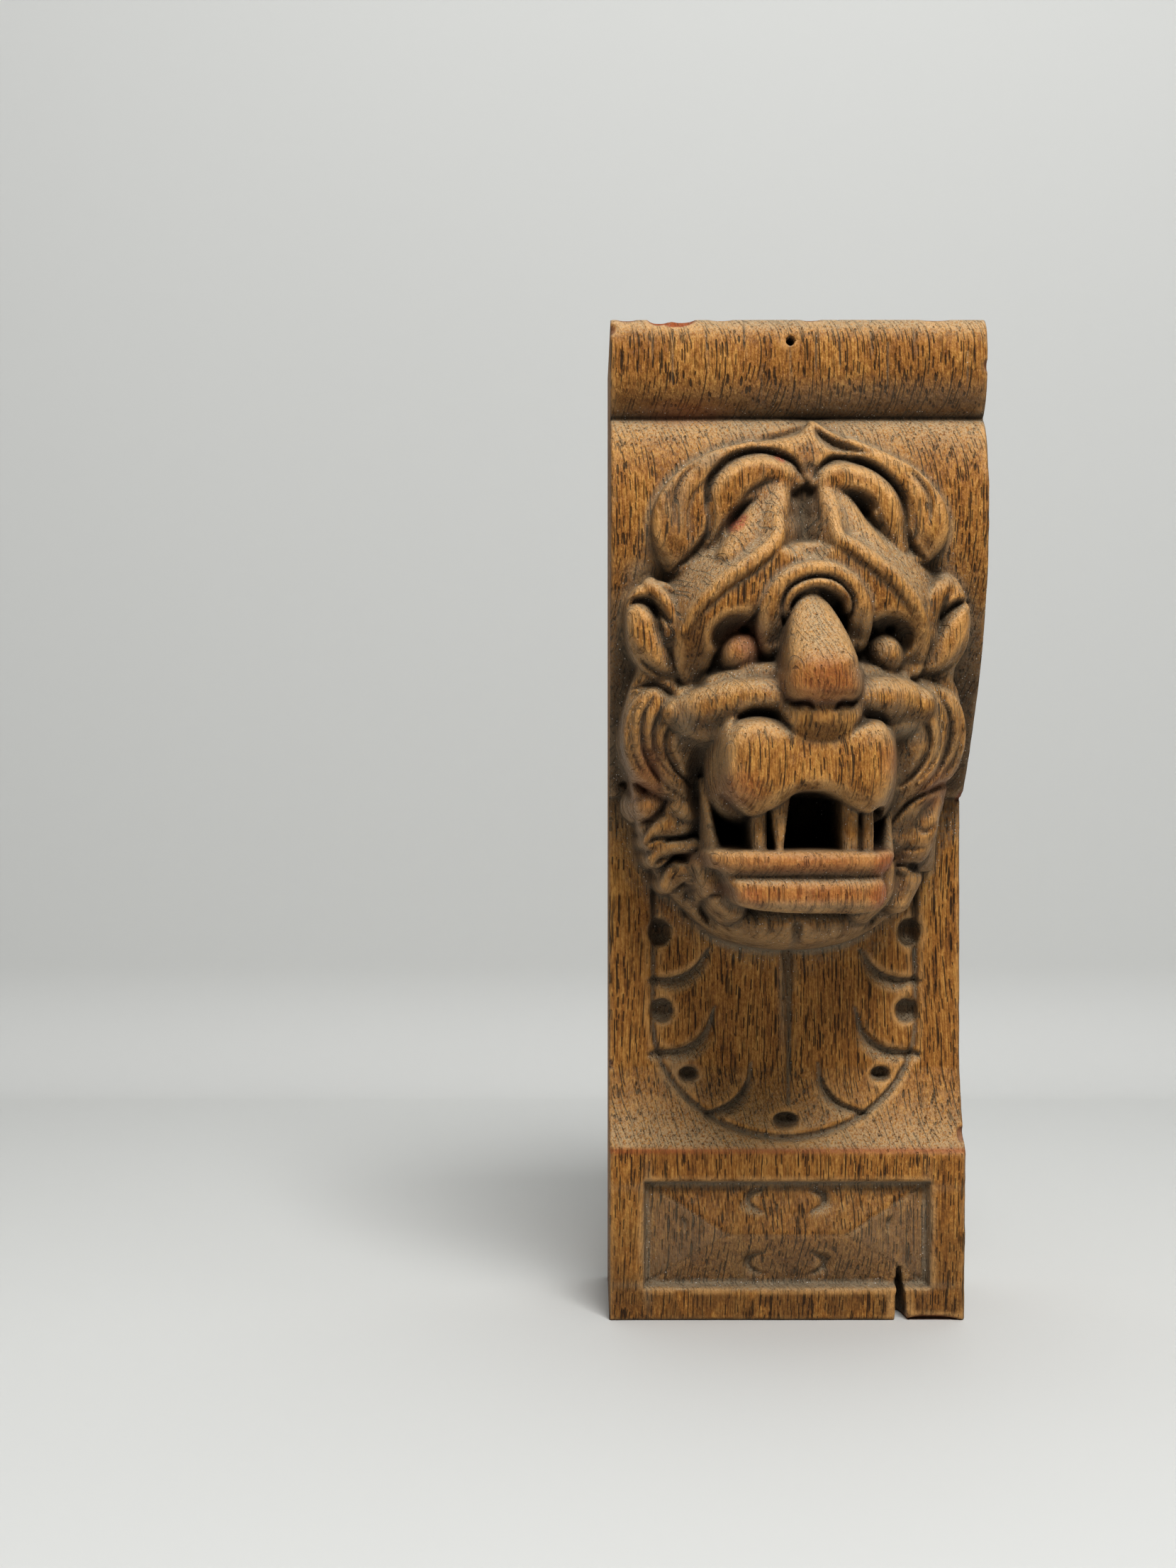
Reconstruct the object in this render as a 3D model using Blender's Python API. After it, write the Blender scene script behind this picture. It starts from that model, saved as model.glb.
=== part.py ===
"""Carved oak corbel bracket with a lion mask, cut from one block of wood.

The wall face lies in the plane Y = 0, the front looks along -Y, and +Z is up.
The origin is the middle of the wall face. Sizes are in millimetres.

The front is carved as a relief: an array holds how far the wood stands from the
wall at each place across and up, and every form raises it or cuts into it. The
relief becomes a slab, and what the slab and the sawn blank share is the corbel.
"""

import math

import bmesh
import bpy
import numpy as np
from mathutils import Matrix

MM = 0.001

# Sawn blank and side outline
WIDTH = 100.0
HEIGHT = 275.0
BLOCK_HEIGHT = 48.0
BLOCK_DEPTH = 57.0
BLOCK_BATTER = 2.0
COVE_HEIGHT = 22.5
SHAFT_DEPTH = 47.0
SHAFT_TOP = 147.0
SHAFT_STEP = 4.5
BULGE_DEPTH = 93.0
CREST_DROP = 23.0
QUIRK_HEIGHT = 249.0
QUIRK_DEPTH = 83.5
ROLL_DEPTH = 91.0
ROLL_TOP_ROUND = 5.0

# Sunk panel on the block, with a hipped field and thumb cuts
PANEL_SIDE_RIM = 9.6
PANEL_TOP_RIM = 8.7
PANEL_FOOT_RIM = 9.0
PANEL_SINK = 3.6
HIP_RISE = 3.2
HIP_INSET = 1.5
HIP_RIDGE_SHARE = 0.41
THUMB_CUT = 2.4

# Leaf on the shaft
LEAF_WIDTH = 75.0
LEAF_GAP = 3.0
LEAF_ROUND_SHARE = 0.42
LEAF_OUTLINE_CUT = 2.2
LEAF_GOUGE_CUT = 3.6
LEAF_EYE_CUT = 5.5

# Mask. Its forms are drawn in millimetres at the drawn height, with their height
# above the corbel's foot and their depth from the wall, and scaled as a whole.
MASK_HEIGHT = 143.0
MASK_GAP = 1.5
DRAWN_HEIGHT = 143.0
DRAWN_TOP = 247.5
DRAWN_BULGE = 93.0
LEAF_HIDDEN_SHARE = 0.14

# Marks of use
NAIL_RADIUS = 1.1
NAIL_DEPTH = 9.0
NAIL_DROP = 6.5
NAIL_SIDE = -2.3
SPLIT_SIDE = 32.0
SPLIT_WIDTH = 1.8
SPLIT_HEIGHT = 14.0
SPLIT_DEPTH = 16.0

# Grid of the relief and the number of triangles that the carved front keeps
STEP = 0.8
OVERLAP = 2.0
FRONT_TRIANGLES = 9200

OAK_COLOUR = (0.30, 0.15, 0.055, 1.0)


def bezier(start, pull_a, pull_b, end, steps):
    """Points of a cubic curve after its start, with its end."""
    points = []
    for i in range(1, steps + 1):
        t = i / steps
        s = 1.0 - t
        weights = (s**3, 3 * s * s * t, 3 * s * t * t, t**3)
        corners = (start, pull_a, pull_b, end)
        points.append(tuple(sum(w * c[k] for w, c in zip(weights, corners)) for k in (0, 1)))
    return points


def front_outline():
    """Front line of the side view from foot to top, as (depth, height)."""
    cove = BLOCK_DEPTH - SHAFT_DEPTH
    belly = BULGE_DEPTH - SHAFT_DEPTH
    crest = QUIRK_HEIGHT - CREST_DROP
    fall = crest - SHAFT_TOP
    roll = HEIGHT - QUIRK_HEIGHT
    bulge_foot = (SHAFT_DEPTH + SHAFT_STEP, SHAFT_TOP + 0.3)
    line = [(BLOCK_DEPTH - BLOCK_BATTER, 0.0), (BLOCK_DEPTH, BLOCK_HEIGHT)]
    line += bezier(
        line[-1],
        (SHAFT_DEPTH + 0.42 * cove, BLOCK_HEIGHT + 0.30 * COVE_HEIGHT),
        (SHAFT_DEPTH + 0.16 * cove, BLOCK_HEIGHT + 0.62 * COVE_HEIGHT),
        (SHAFT_DEPTH, BLOCK_HEIGHT + COVE_HEIGHT),
        8,
    )
    line += [(SHAFT_DEPTH, SHAFT_TOP), bulge_foot]
    line += bezier(
        bulge_foot,
        (SHAFT_DEPTH + 0.61 * belly, SHAFT_TOP + 0.30 * fall),
        (BULGE_DEPTH, SHAFT_TOP + 0.61 * fall),
        (BULGE_DEPTH, crest),
        14,
    )
    line += bezier(
        line[-1],
        (BULGE_DEPTH, crest + 0.50 * CREST_DROP),
        (BULGE_DEPTH - 0.35 * (BULGE_DEPTH - QUIRK_DEPTH), QUIRK_HEIGHT - 0.09 * CREST_DROP),
        (QUIRK_DEPTH, QUIRK_HEIGHT),
        8,
    )
    line += bezier(
        line[-1],
        (ROLL_DEPTH - 2.4, QUIRK_HEIGHT + 0.03 * roll),
        (ROLL_DEPTH, QUIRK_HEIGHT + 0.34 * roll),
        (ROLL_DEPTH, QUIRK_HEIGHT + 0.64 * roll),
        10,
    )
    line += bezier(
        line[-1],
        (ROLL_DEPTH, HEIGHT - 0.9 * ROLL_TOP_ROUND),
        (ROLL_DEPTH - 0.3 * ROLL_TOP_ROUND, HEIGHT - 0.25 * ROLL_TOP_ROUND),
        (ROLL_DEPTH - ROLL_TOP_ROUND, HEIGHT + 0.01),
        8,
    )
    return line


def smooth_line(points, steps, closed=False):
    """A smooth line through stations, which may carry further values with their place."""
    given = np.array(points, dtype=float)
    if closed:
        ends = np.vstack([given[-1], given, given[:2]])
    else:
        ends = np.vstack([2 * given[0] - given[1], given, 2 * given[-1] - given[-2]])
    line = [ends[1]]
    for a, b, c, d in zip(ends, ends[1:], ends[2:], ends[3:]):
        for j in range(1, steps + 1):
            t = j / steps
            bend = (2 * a - 5 * b + 4 * c - d) * t**2 + (3 * b - a - 3 * c + d) * t**3
            line.append(0.5 * (2 * b + (c - a) * t + bend))
    return np.array(line)


def blend_max(a, b, softness):
    """The higher of two, with the corner between them rounded off."""
    share = np.clip(0.5 + 0.5 * (a - b) / softness, 0.0, 1.0)
    return b + (a - b) * share + softness * share * (1.0 - share)


def blend_min(a, b, softness):
    """The lower of two, with the corner between them rounded off."""
    return -blend_max(-a, -b, softness)


class Relief:
    """The carved front as a grid of depths, and the cuts that shape it."""

    def __init__(self, step):
        across = int(round((WIDTH + 2.0 * OVERLAP) / step))
        up = int(round((HEIGHT + 2.0 * OVERLAP) / step))
        xs = np.linspace(-WIDTH / 2.0 - OVERLAP, WIDTH / 2.0 + OVERLAP, across + 1)
        zs = np.linspace(-OVERLAP, HEIGHT + OVERLAP, up + 1)
        self.place_x, self.place_z = np.meshgrid(xs, zs)
        depths, heights = zip(*front_outline())
        self.ground = np.interp(self.place_z, heights, depths)
        self.depth = self.ground.copy()
        self.on_block()

    def on_block(self):
        """Draws in the corbel's own millimetres."""
        self.scale = 1.0
        self.x, self.z = self.place_x, self.place_z

    def on_mask(self):
        """Draws in the mask's millimetres."""
        self.scale = MASK_HEIGHT / DRAWN_HEIGHT
        self.x = self.place_x / self.scale
        self.z = DRAWN_TOP - (QUIRK_HEIGHT - MASK_GAP - self.place_z) / self.scale

    def drawn(self, depth):
        """A drawn depth from the wall at the mask's real scale."""
        return BULGE_DEPTH + (depth - DRAWN_BULGE) * self.scale

    def near(self, line, reach):
        """The part of the grid near a line, with its distance, side and the line's values there."""
        low = line[:, :2].min(axis=0) - reach
        high = line[:, :2].max(axis=0) + reach
        rows = np.flatnonzero((self.z[:, 0] >= low[1]) & (self.z[:, 0] <= high[1]))
        columns = np.flatnonzero((self.x[0] >= low[0]) & (self.x[0] <= high[0]))
        part = np.ix_(rows, columns)
        x, z = self.x[part], self.z[part]
        least = np.full(x.shape, np.inf)
        side = np.zeros(x.shape)
        values = np.zeros((line.shape[1] - 2,) + x.shape)
        for a, b in zip(line, line[1:]):
            run, rise = b[:2] - a[:2]
            t = ((x - a[0]) * run + (z - a[1]) * rise) / (run * run + rise * rise + 1e-12)
            t = np.clip(t, 0.0, 1.0)
            off_x, off_z = x - a[0] - t * run, z - a[1] - t * rise
            distance = np.hypot(off_x, off_z)
            closer = distance < least
            least = np.where(closer, distance, least)
            side = np.where(closer, np.sign(run * off_z - rise * off_x), side)
            for i in range(len(values)):
                values[i] = np.where(closer, a[2 + i] + t * (b[2 + i] - a[2 + i]), values[i])
        return part, least, side, values

    def ridge(self, route, soft=2.0, drop=1.0, power=2.0, lift=False, wall=12.0):
        """Raises a form along a route of (x, z, half width, depth).

        With lift, the depths count from the plain ground instead of the wall.
        """
        reach = max(station[2] for station in route) + 4.0
        part, away, _, (half, top) = self.near(smooth_line(route, 8), reach)
        share = np.clip(away / half, 0.0, 1.0)
        section = 1.0 - (1.0 - share**power) ** (1.0 / power)
        crest = self.ground[part] + top * self.scale if lift else self.drawn(top)
        fall = drop * half * section + wall * np.clip(away - half, 0.0, None)
        self.depth[part] = blend_max(self.depth[part], crest - self.scale * fall, soft * self.scale)

    def groove(self, route, flanks=(1.0, 1.0), power=1.4):
        """Cuts along a route of (x, z, half width, cut). The flanks widen its left and right side."""
        reach = max(station[2] for station in route) * max(flanks) + 2.0
        part, away, side, (half, cut) = self.near(smooth_line(route, 8), reach)
        wide = half * np.where(side >= 0.0, flanks[0], flanks[1])
        self.depth[part] -= cut * self.scale * (1.0 - np.clip(away / wide, 0.0, 1.0)) ** power

    def channel(self, route, soft=1.0):
        """Hollows a round channel along a route of (x, z, half width, depth of its floor)."""
        reach = max(station[2] for station in route) + 3.0
        part, away, _, (half, floor) = self.near(smooth_line(route, 8), reach)
        hollow = self.drawn(floor) + 0.9 * half * self.scale * np.clip(away / half, 0.0, 3.0) ** 3
        self.depth[part] = blend_min(self.depth[part], hollow, soft * self.scale)

    def oval(self, x, z, half_x, half_z, turn, power):
        """0 in the middle of an oval and 1 on its edge."""
        c, s = math.cos(math.radians(turn)), math.sin(math.radians(turn))
        along = (self.x - x) * c + (self.z - z) * s
        across = (self.z - z) * c - (self.x - x) * s
        return np.abs(along / half_x) ** power + np.abs(across / half_z) ** power

    def lump(self, x, z, half_x, half_z, depth, rise, turn=0.0, soft=3.0, power=2.0):
        """Raises an oval swelling to a depth. It stands its rise above its own edge."""
        share = self.oval(x, z, half_x, half_z, turn, power)
        fall = 1.0 - np.sqrt(np.clip(1.0 - share, 0.0, 1.0)) + 2.0 * np.clip(share - 1.0, 0.0, 50.0)
        raised = blend_max(self.depth, self.drawn(depth) - rise * self.scale * fall, soft * self.scale)
        self.depth = np.where(share < 3.0, raised, self.depth)

    def pit(self, x, z, half_x, half_z, cut, turn=0.0, power=2.0):
        """Cuts an oval hollow."""
        share = self.oval(x, z, half_x, half_z, turn, 2.0) ** (power / 2.0)
        self.depth -= cut * self.scale * np.clip(1.0 - share, 0.0, 1.0)

    def socket(self, x, z, half_x, half_z, floor, slope, power=4.0, soft=1.5):
        """Cuts an oval hollow down to a depth."""
        share = self.oval(x, z, half_x, half_z, 0.0, 2.0) ** (power / 2.0)
        self.depth = blend_min(self.depth, self.drawn(floor) + slope * self.scale * share, soft)

    def inside(self, outline):
        """The part of the grid near a closed outline, with its distance inwards from the outline."""
        line = smooth_line(outline, 6, closed=True)
        part, away, _, _ = self.near(line, 6.0)
        x, z = self.x[part], self.z[part]
        within = np.zeros(x.shape, dtype=bool)
        for a, b in zip(line, line[1:]):
            if a[1] != b[1]:
                crossing = a[0] + (z - a[1]) / (b[1] - a[1]) * (b[0] - a[0])
                within ^= ((a[1] > z) != (b[1] > z)) & (x < crossing)
        return part, np.where(within, away, -away)

    def plate(self, outline, top, edge, soft=0.6, wall=25.0):
        """Raises the inside of an outline to a top, a function of the grid part, with a round edge."""
        part, inwards = self.inside(outline)
        share = np.clip(1.0 - inwards / edge, 0.0, 1.0)
        fall = edge * (1.0 - np.sqrt(1.0 - share**2)) + wall * np.clip(-inwards, 0.0, None)
        self.depth[part] = blend_max(self.depth[part], top(part) - self.scale * fall, soft * self.scale)

    def sink(self, outline, floor, soft=0.5, wall=20.0):
        """Cuts the inside of an outline down to a floor, a function of the grid part."""
        part, inwards = self.inside(outline)
        cut = floor(part) + wall * self.scale * np.clip(0.6 - inwards, 0.0, None)
        self.depth[part] = blend_min(self.depth[part], cut, soft * self.scale)


MANE_OUTLINE = (
    (-45.6, 200.4), (-46.4, 195.0), (-45.2, 188.0), (-43.0, 182.0), (-45.2, 175.5), (-47.0, 166.4),
    (-46.2, 158.0), (-44.4, 152.0), (-43.8, 147.0), (-42.6, 140.2), (-40.0, 131.6), (-35.8, 123.6),
    (-29.6, 116.6), (-22.8, 110.4), (-16.4, 106.6), (-7.0, 104.8), (0.6, 104.5), (10.3, 105.2),
    (20.5, 108.6), (27.0, 113.0), (31.6, 118.8), (34.2, 125.6), (36.8, 134.0), (39.4, 142.4),
    (40.8, 149.0), (43.4, 157.0), (44.6, 166.0), (42.8, 175.0), (41.2, 180.0), (43.6, 188.0),
    (44.6, 195.1), (43.7, 201.1), (39.8, 206.4), (32.0, 206.0), (20.0, 205.0), (0.0, 205.0),
    (-20.0, 204.0), (-33.0, 202.0), (-41.5, 203.8),
)
MANE_LEVELS = (
    (100.0, 52.0), (105.0, 57.0), (110.0, 61.0), (120.0, 66.5), (130.0, 71.0), (140.0, 75.5),
    (150.0, 80.0), (160.0, 85.0), (170.0, 89.5), (180.0, 93.0), (190.0, 95.0), (200.0, 96.0),
    (230.0, 96.5),
)
CROWN_OUTLINE = (
    (3.6, 248.0), (7.0, 245.4), (10.0, 243.6), (16.5, 240.5), (23.1, 237.3), (29.6, 233.4),
    (34.2, 228.8), (37.5, 223.6), (38.6, 219.0), (37.8, 214.5), (35.6, 211.0), (32.0, 208.6),
    (27.0, 207.6), (22.0, 209.0), (15.0, 214.0), (9.0, 221.0), (4.0, 228.0), (0.0, 229.0),
    (-5.0, 224.0), (-10.0, 217.0), (-16.0, 210.5), (-21.0, 207.0), (-26.0, 204.6), (-31.0, 204.8),
    (-35.0, 207.0), (-37.8, 211.2), (-38.8, 216.8), (-38.0, 222.0), (-35.4, 227.7), (-31.4, 232.4),
    (-26.9, 236.2), (-21.4, 239.5), (-12.9, 241.4), (-6.4, 242.4), (-1.0, 243.6), (1.5, 245.6),
)
MUZZLE_OUTLINE = (
    (-17.8, 166.2), (-13.4, 168.2), (-8.4, 167.8), (-4.0, 166.6), (3.0, 168.0), (10.0, 166.6),
    (16.0, 167.2), (19.9, 166.2), (22.2, 162.0), (22.2, 156.0), (21.3, 149.0), (19.3, 144.6),
    (15.5, 142.9), (11.1, 144.4), (7.3, 146.8), (4.2, 148.2), (-0.2, 148.4), (-2.9, 147.8),
    (-5.9, 145.7), (-9.6, 143.6), (-14.0, 142.5), (-17.2, 144.4), (-19.9, 148.2), (-21.1, 153.8),
    (-21.0, 160.6),
)
MOUTH_OUTLINE = (
    (-22.8, 134.2), (-10.0, 134.2), (8.0, 134.2), (21.6, 134.2), (22.4, 141.0), (19.4, 144.9),
    (15.5, 143.2), (11.1, 144.7), (7.3, 147.1), (4.2, 148.5), (-0.2, 148.7), (-2.9, 148.1),
    (-5.9, 146.0), (-9.6, 143.9), (-14.0, 142.8), (-17.2, 144.7), (-20.6, 148.2), (-22.6, 148.6),
    (-23.4, 142.0),
)
THROAT_OUTLINE = (
    (-3.4, 134.9), (3.0, 134.6), (9.8, 134.9), (9.8, 141.0), (9.2, 146.4), (3.0, 147.6), (-3.0, 147.2),
    (-3.6, 141.0),
)
JAW_OUTLINE = (
    (-24.0, 134.0), (-10.0, 134.0), (8.0, 134.0), (21.9, 134.0), (22.2, 130.2), (20.2, 127.5),
    (20.8, 122.0), (17.0, 118.2), (5.0, 117.8), (-8.0, 118.2), (-16.8, 119.8), (-18.9, 124.0),
    (-21.2, 128.2), (-24.4, 130.0),
)


def carve_mane(relief):
    """The plate of the mane, which keeps leaning forward where the shaft falls away behind it."""
    heights, depths = zip(*MANE_LEVELS)
    relief.plate(MANE_OUTLINE, lambda part: relief.drawn(np.interp(relief.z[part], heights, depths)), 3.6)
    carve_upper_locks(relief)
    carve_side_locks(relief)
    carve_lower_locks(relief)


def carve_upper_locks(relief):
    """The pair of leafy locks beside the brows, each with a slit in it."""
    for side, shift in ((-1, 0.0), (1, -1.4)):
        outer = (
            (41.5, 201.4, 2.2, 97), (42.4, 196.4, 3.4, 98.5), (41.2, 189, 4.2, 99), (38, 183.6, 4, 98),
            (33.5, 180.8, 2.8, 96),
        )
        inner = (
            (39.6, 203.4, 2, 97.5), (35.8, 200.2, 3.2, 99.5), (33.6, 194, 3.2, 99.5),
            (32.4, 188, 2.2, 98),
        )
        relief.ridge([(side * (x + shift), z, half, top) for x, z, half, top in outer], drop=0.8)
        relief.ridge([(side * (x + shift), z, half, top) for x, z, half, top in inner], drop=0.9)
    left_slit = (
        (-46, 196.6, 0.8, 1.5), (-43.6, 199.2, 1.8, 4.6), (-40.2, 199, 2.2, 5.4),
        (-37.2, 196.6, 1.9, 4.8), (-35, 193.6, 1.2, 2.4), (-33.8, 190.8, 0.6, 0.8),
    )
    right_slit = (
        (33.4, 188.6, 0.7, 1), (34.9, 191.2, 1.4, 3.2), (38.2, 196, 1.9, 4.8), (41.2, 198.4, 1.9, 4.8),
        (44.2, 199.3, 1.1, 2.4),
    )
    relief.groove(left_slit, flanks=(0.7, 1.5))
    relief.groove(right_slit, flanks=(0.8, 1.5))
    relief.groove(
        (
            (-44.8, 189.4, 0.6, 0.6), (-43, 184.8, 1.3, 2.4), (-38.6, 180.6, 1.5, 3.2),
            (-33.2, 178.4, 1.5, 3.4), (-30.4, 178.4, 0.9, 1.6),
        ),
        flanks=(1.4, 0.9),
    )
    relief.groove(
        (
            (29.8, 180, 0.9, 1.6), (32.8, 179, 1.4, 3.2), (37.8, 180.6, 1.5, 3.2),
            (41.8, 184.8, 1.3, 2.4), (43.2, 189.4, 0.6, 0.6),
        ),
        flanks=(1.4, 0.9),
    )
    relief.groove(
        (
            (-37.6, 204.2, 1.6, 2), (-32.6, 199.4, 1.8, 4), (-31.8, 193.6, 1.4, 3.2),
            (-33.4, 186.6, 1.2, 2.4), (-32.6, 181, 1.2, 2.4),
        )
    )
    relief.groove(
        (
            (36, 206.4, 1.6, 2), (31.6, 200.4, 1.8, 4), (31.2, 193.6, 1.4, 3.2),
            (31.8, 186.6, 1.2, 2.4), (31.4, 181, 1.2, 2.4),
        )
    )


def carve_side_locks(relief):
    """The long locks that sweep down both sides of the muzzle."""
    lock = (
        (34.5, 176.5, 3, 94.5), (39, 170.5, 5.8, 94.6), (40.6, 163, 6, 92), (39, 156, 5.6, 88),
        (34.5, 150.5, 4, 83.5), (30, 147, 2, 80),
    )
    partings = (
        (
            (41.8, 174, 0.5, 0.4), (44.6, 169, 1.1, 1.6), (45, 162.6, 1.2, 1.8), (43, 156.4, 1.1, 1.6),
            (39.6, 152, 0.5, 0.5),
        ),
        (
            (38.2, 175, 0.5, 0.5), (41.4, 169, 1.3, 2.6), (41.8, 162, 1.4, 3), (39.4, 155.4, 1.3, 2.8),
            (34.6, 150, 0.9, 1.6), (30, 146.6, 0.5, 0.6),
        ),
        (
            (35.2, 172.6, 0.5, 0.4), (38.4, 167, 1.1, 1.8), (38.6, 161, 1.2, 2), (36, 155.4, 1.1, 1.8),
            (32, 151.2, 0.5, 0.6),
        ),
        (
            (31.6, 170.4, 0.5, 0.6), (35, 165, 1.3, 2.6), (35.4, 159.6, 1.4, 3),
            (32.6, 154.4, 1.2, 2.6), (28.4, 150.4, 0.7, 1.2),
        ),
    )
    falls = (
        ((-29, 171, 6, 99), (-31, 163, 7, 96), (-30, 154.5, 7, 91.5), (-28.4, 147, 6, 87)),
        (
            (28.6, 171, 6, 101), (29.6, 163, 7.5, 99.5), (28.6, 154, 7.5, 96), (26.6, 146, 6.5, 91.5),
            (25.4, 138, 5, 87),
        ),
    )
    for fall in falls:
        relief.ridge(fall, soft=3.0, drop=0.6, wall=2.0)
    for side, shift in ((-1, 0.0), (1, -1.8)):
        flanks = (0.7, 1.8) if side > 0 else (1.8, 0.7)
        relief.ridge([(side * (x + shift), z, half, top) for x, z, half, top in lock], drop=0.8)
        for parting in partings:
            relief.groove(
                [(side * (x + shift), z, half, cut) for x, z, half, cut in parting],
                flanks=flanks,
            )
    relief.groove(
        ((-44.2, 176.4, 0.6, 1), (-38.6, 177.4, 1.2, 2.6), (-33.6, 174.4, 1.3, 2.8)),
        flanks=(1, 1.4),
    )
    relief.groove(
        ((-46.6, 151, 1, 2.4), (-42.6, 150.8, 1.7, 4.6), (-38, 147.6, 1.6, 4), (-33.6, 146.2, 1, 2))
    )
    relief.groove(
        (
            (43.4, 152.6, 1, 2.4), (38.4, 150.4, 1.5, 4.2), (33, 148.4, 1.5, 4),
            (28.6, 145.6, 1.3, 3.2), (24.4, 140, 0.8, 1.6),
        )
    )


def carve_lower_locks(relief):
    """The short locks beside the jaw: wavy on the left, plain lobes on the right."""
    relief.lump(-39, 145.2, 4.6, 3.9, 81.5, 5, soft=1.2)
    lobes = (
        ((-30.6, 140.8, 4.2, 83.5), (-35.4, 138.8, 3.2, 81), (-38.4, 135.4, 2.6, 78)),
        ((-27.6, 134.4, 2.2, 82), (-33, 133.8, 2.2, 80), (-37.4, 130.6, 2.4, 76.5)),
        ((-26.4, 127.4, 3.8, 80.5), (-30.8, 127.2, 3.4, 77.5), (-34.2, 123.6, 2.4, 73.5)),
        ((36, 146, 3.6, 83.5), (33.4, 140.5, 5, 85.5), (31, 134, 5.4, 84.5), (29.6, 130.6, 4, 82)),
        ((30.2, 125.6, 4.6, 79.5), (28.2, 119.8, 4, 77.5)),
    )
    for lobe in lobes:
        relief.ridge(lobe, soft=2.0, drop=0.8)
    partings = (
        (
            (-34.4, 148.8, 0.7, 1.2), (-35.4, 145, 1.2, 3.4), (-39, 141.4, 1.3, 3.4),
            (-43, 139.8, 0.9, 1.8),
        ),
        (
            (-27.2, 139.8, 0.6, 0.8), (-28.8, 137.2, 1.2, 3), (-33.1, 136.5, 1.2, 3.2),
            (-37.8, 136.2, 1.1, 2.6), (-41, 133.2, 0.8, 1.4),
        ),
        (
            (-24.8, 133.9, 0.7, 1.2), (-28.6, 131.3, 1.8, 4.8), (-33, 131.4, 1.4, 3.8),
            (-36.8, 130, 1.2, 2.8), (-38.2, 126.8, 0.8, 1.4),
        ),
        ((-23.8, 125.6, 0.6, 0.8), (-28.6, 124.4, 1, 1.8), (-32.6, 121.6, 0.8, 1.4)),
        ((31, 140.2, 0.8, 0.5), (34.4, 138.2, 1.3, 1.3), (37.8, 140.6, 0.9, 0.8)),
        ((25.2, 134.6, 0.8, 0.5), (30, 133.5, 1.2, 1), (35, 134, 0.8, 0.5)),
        ((22.6, 128, 0.8, 1), (27.6, 129.2, 1.2, 2.2), (32.4, 128.8, 1.4, 3.4), (35, 126.6, 0.8, 1.4)),
    )
    for parting in partings:
        relief.groove(parting)
    relief.pit(32.4, 128.6, 2.3, 1.4, 3.5, power=3)


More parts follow.
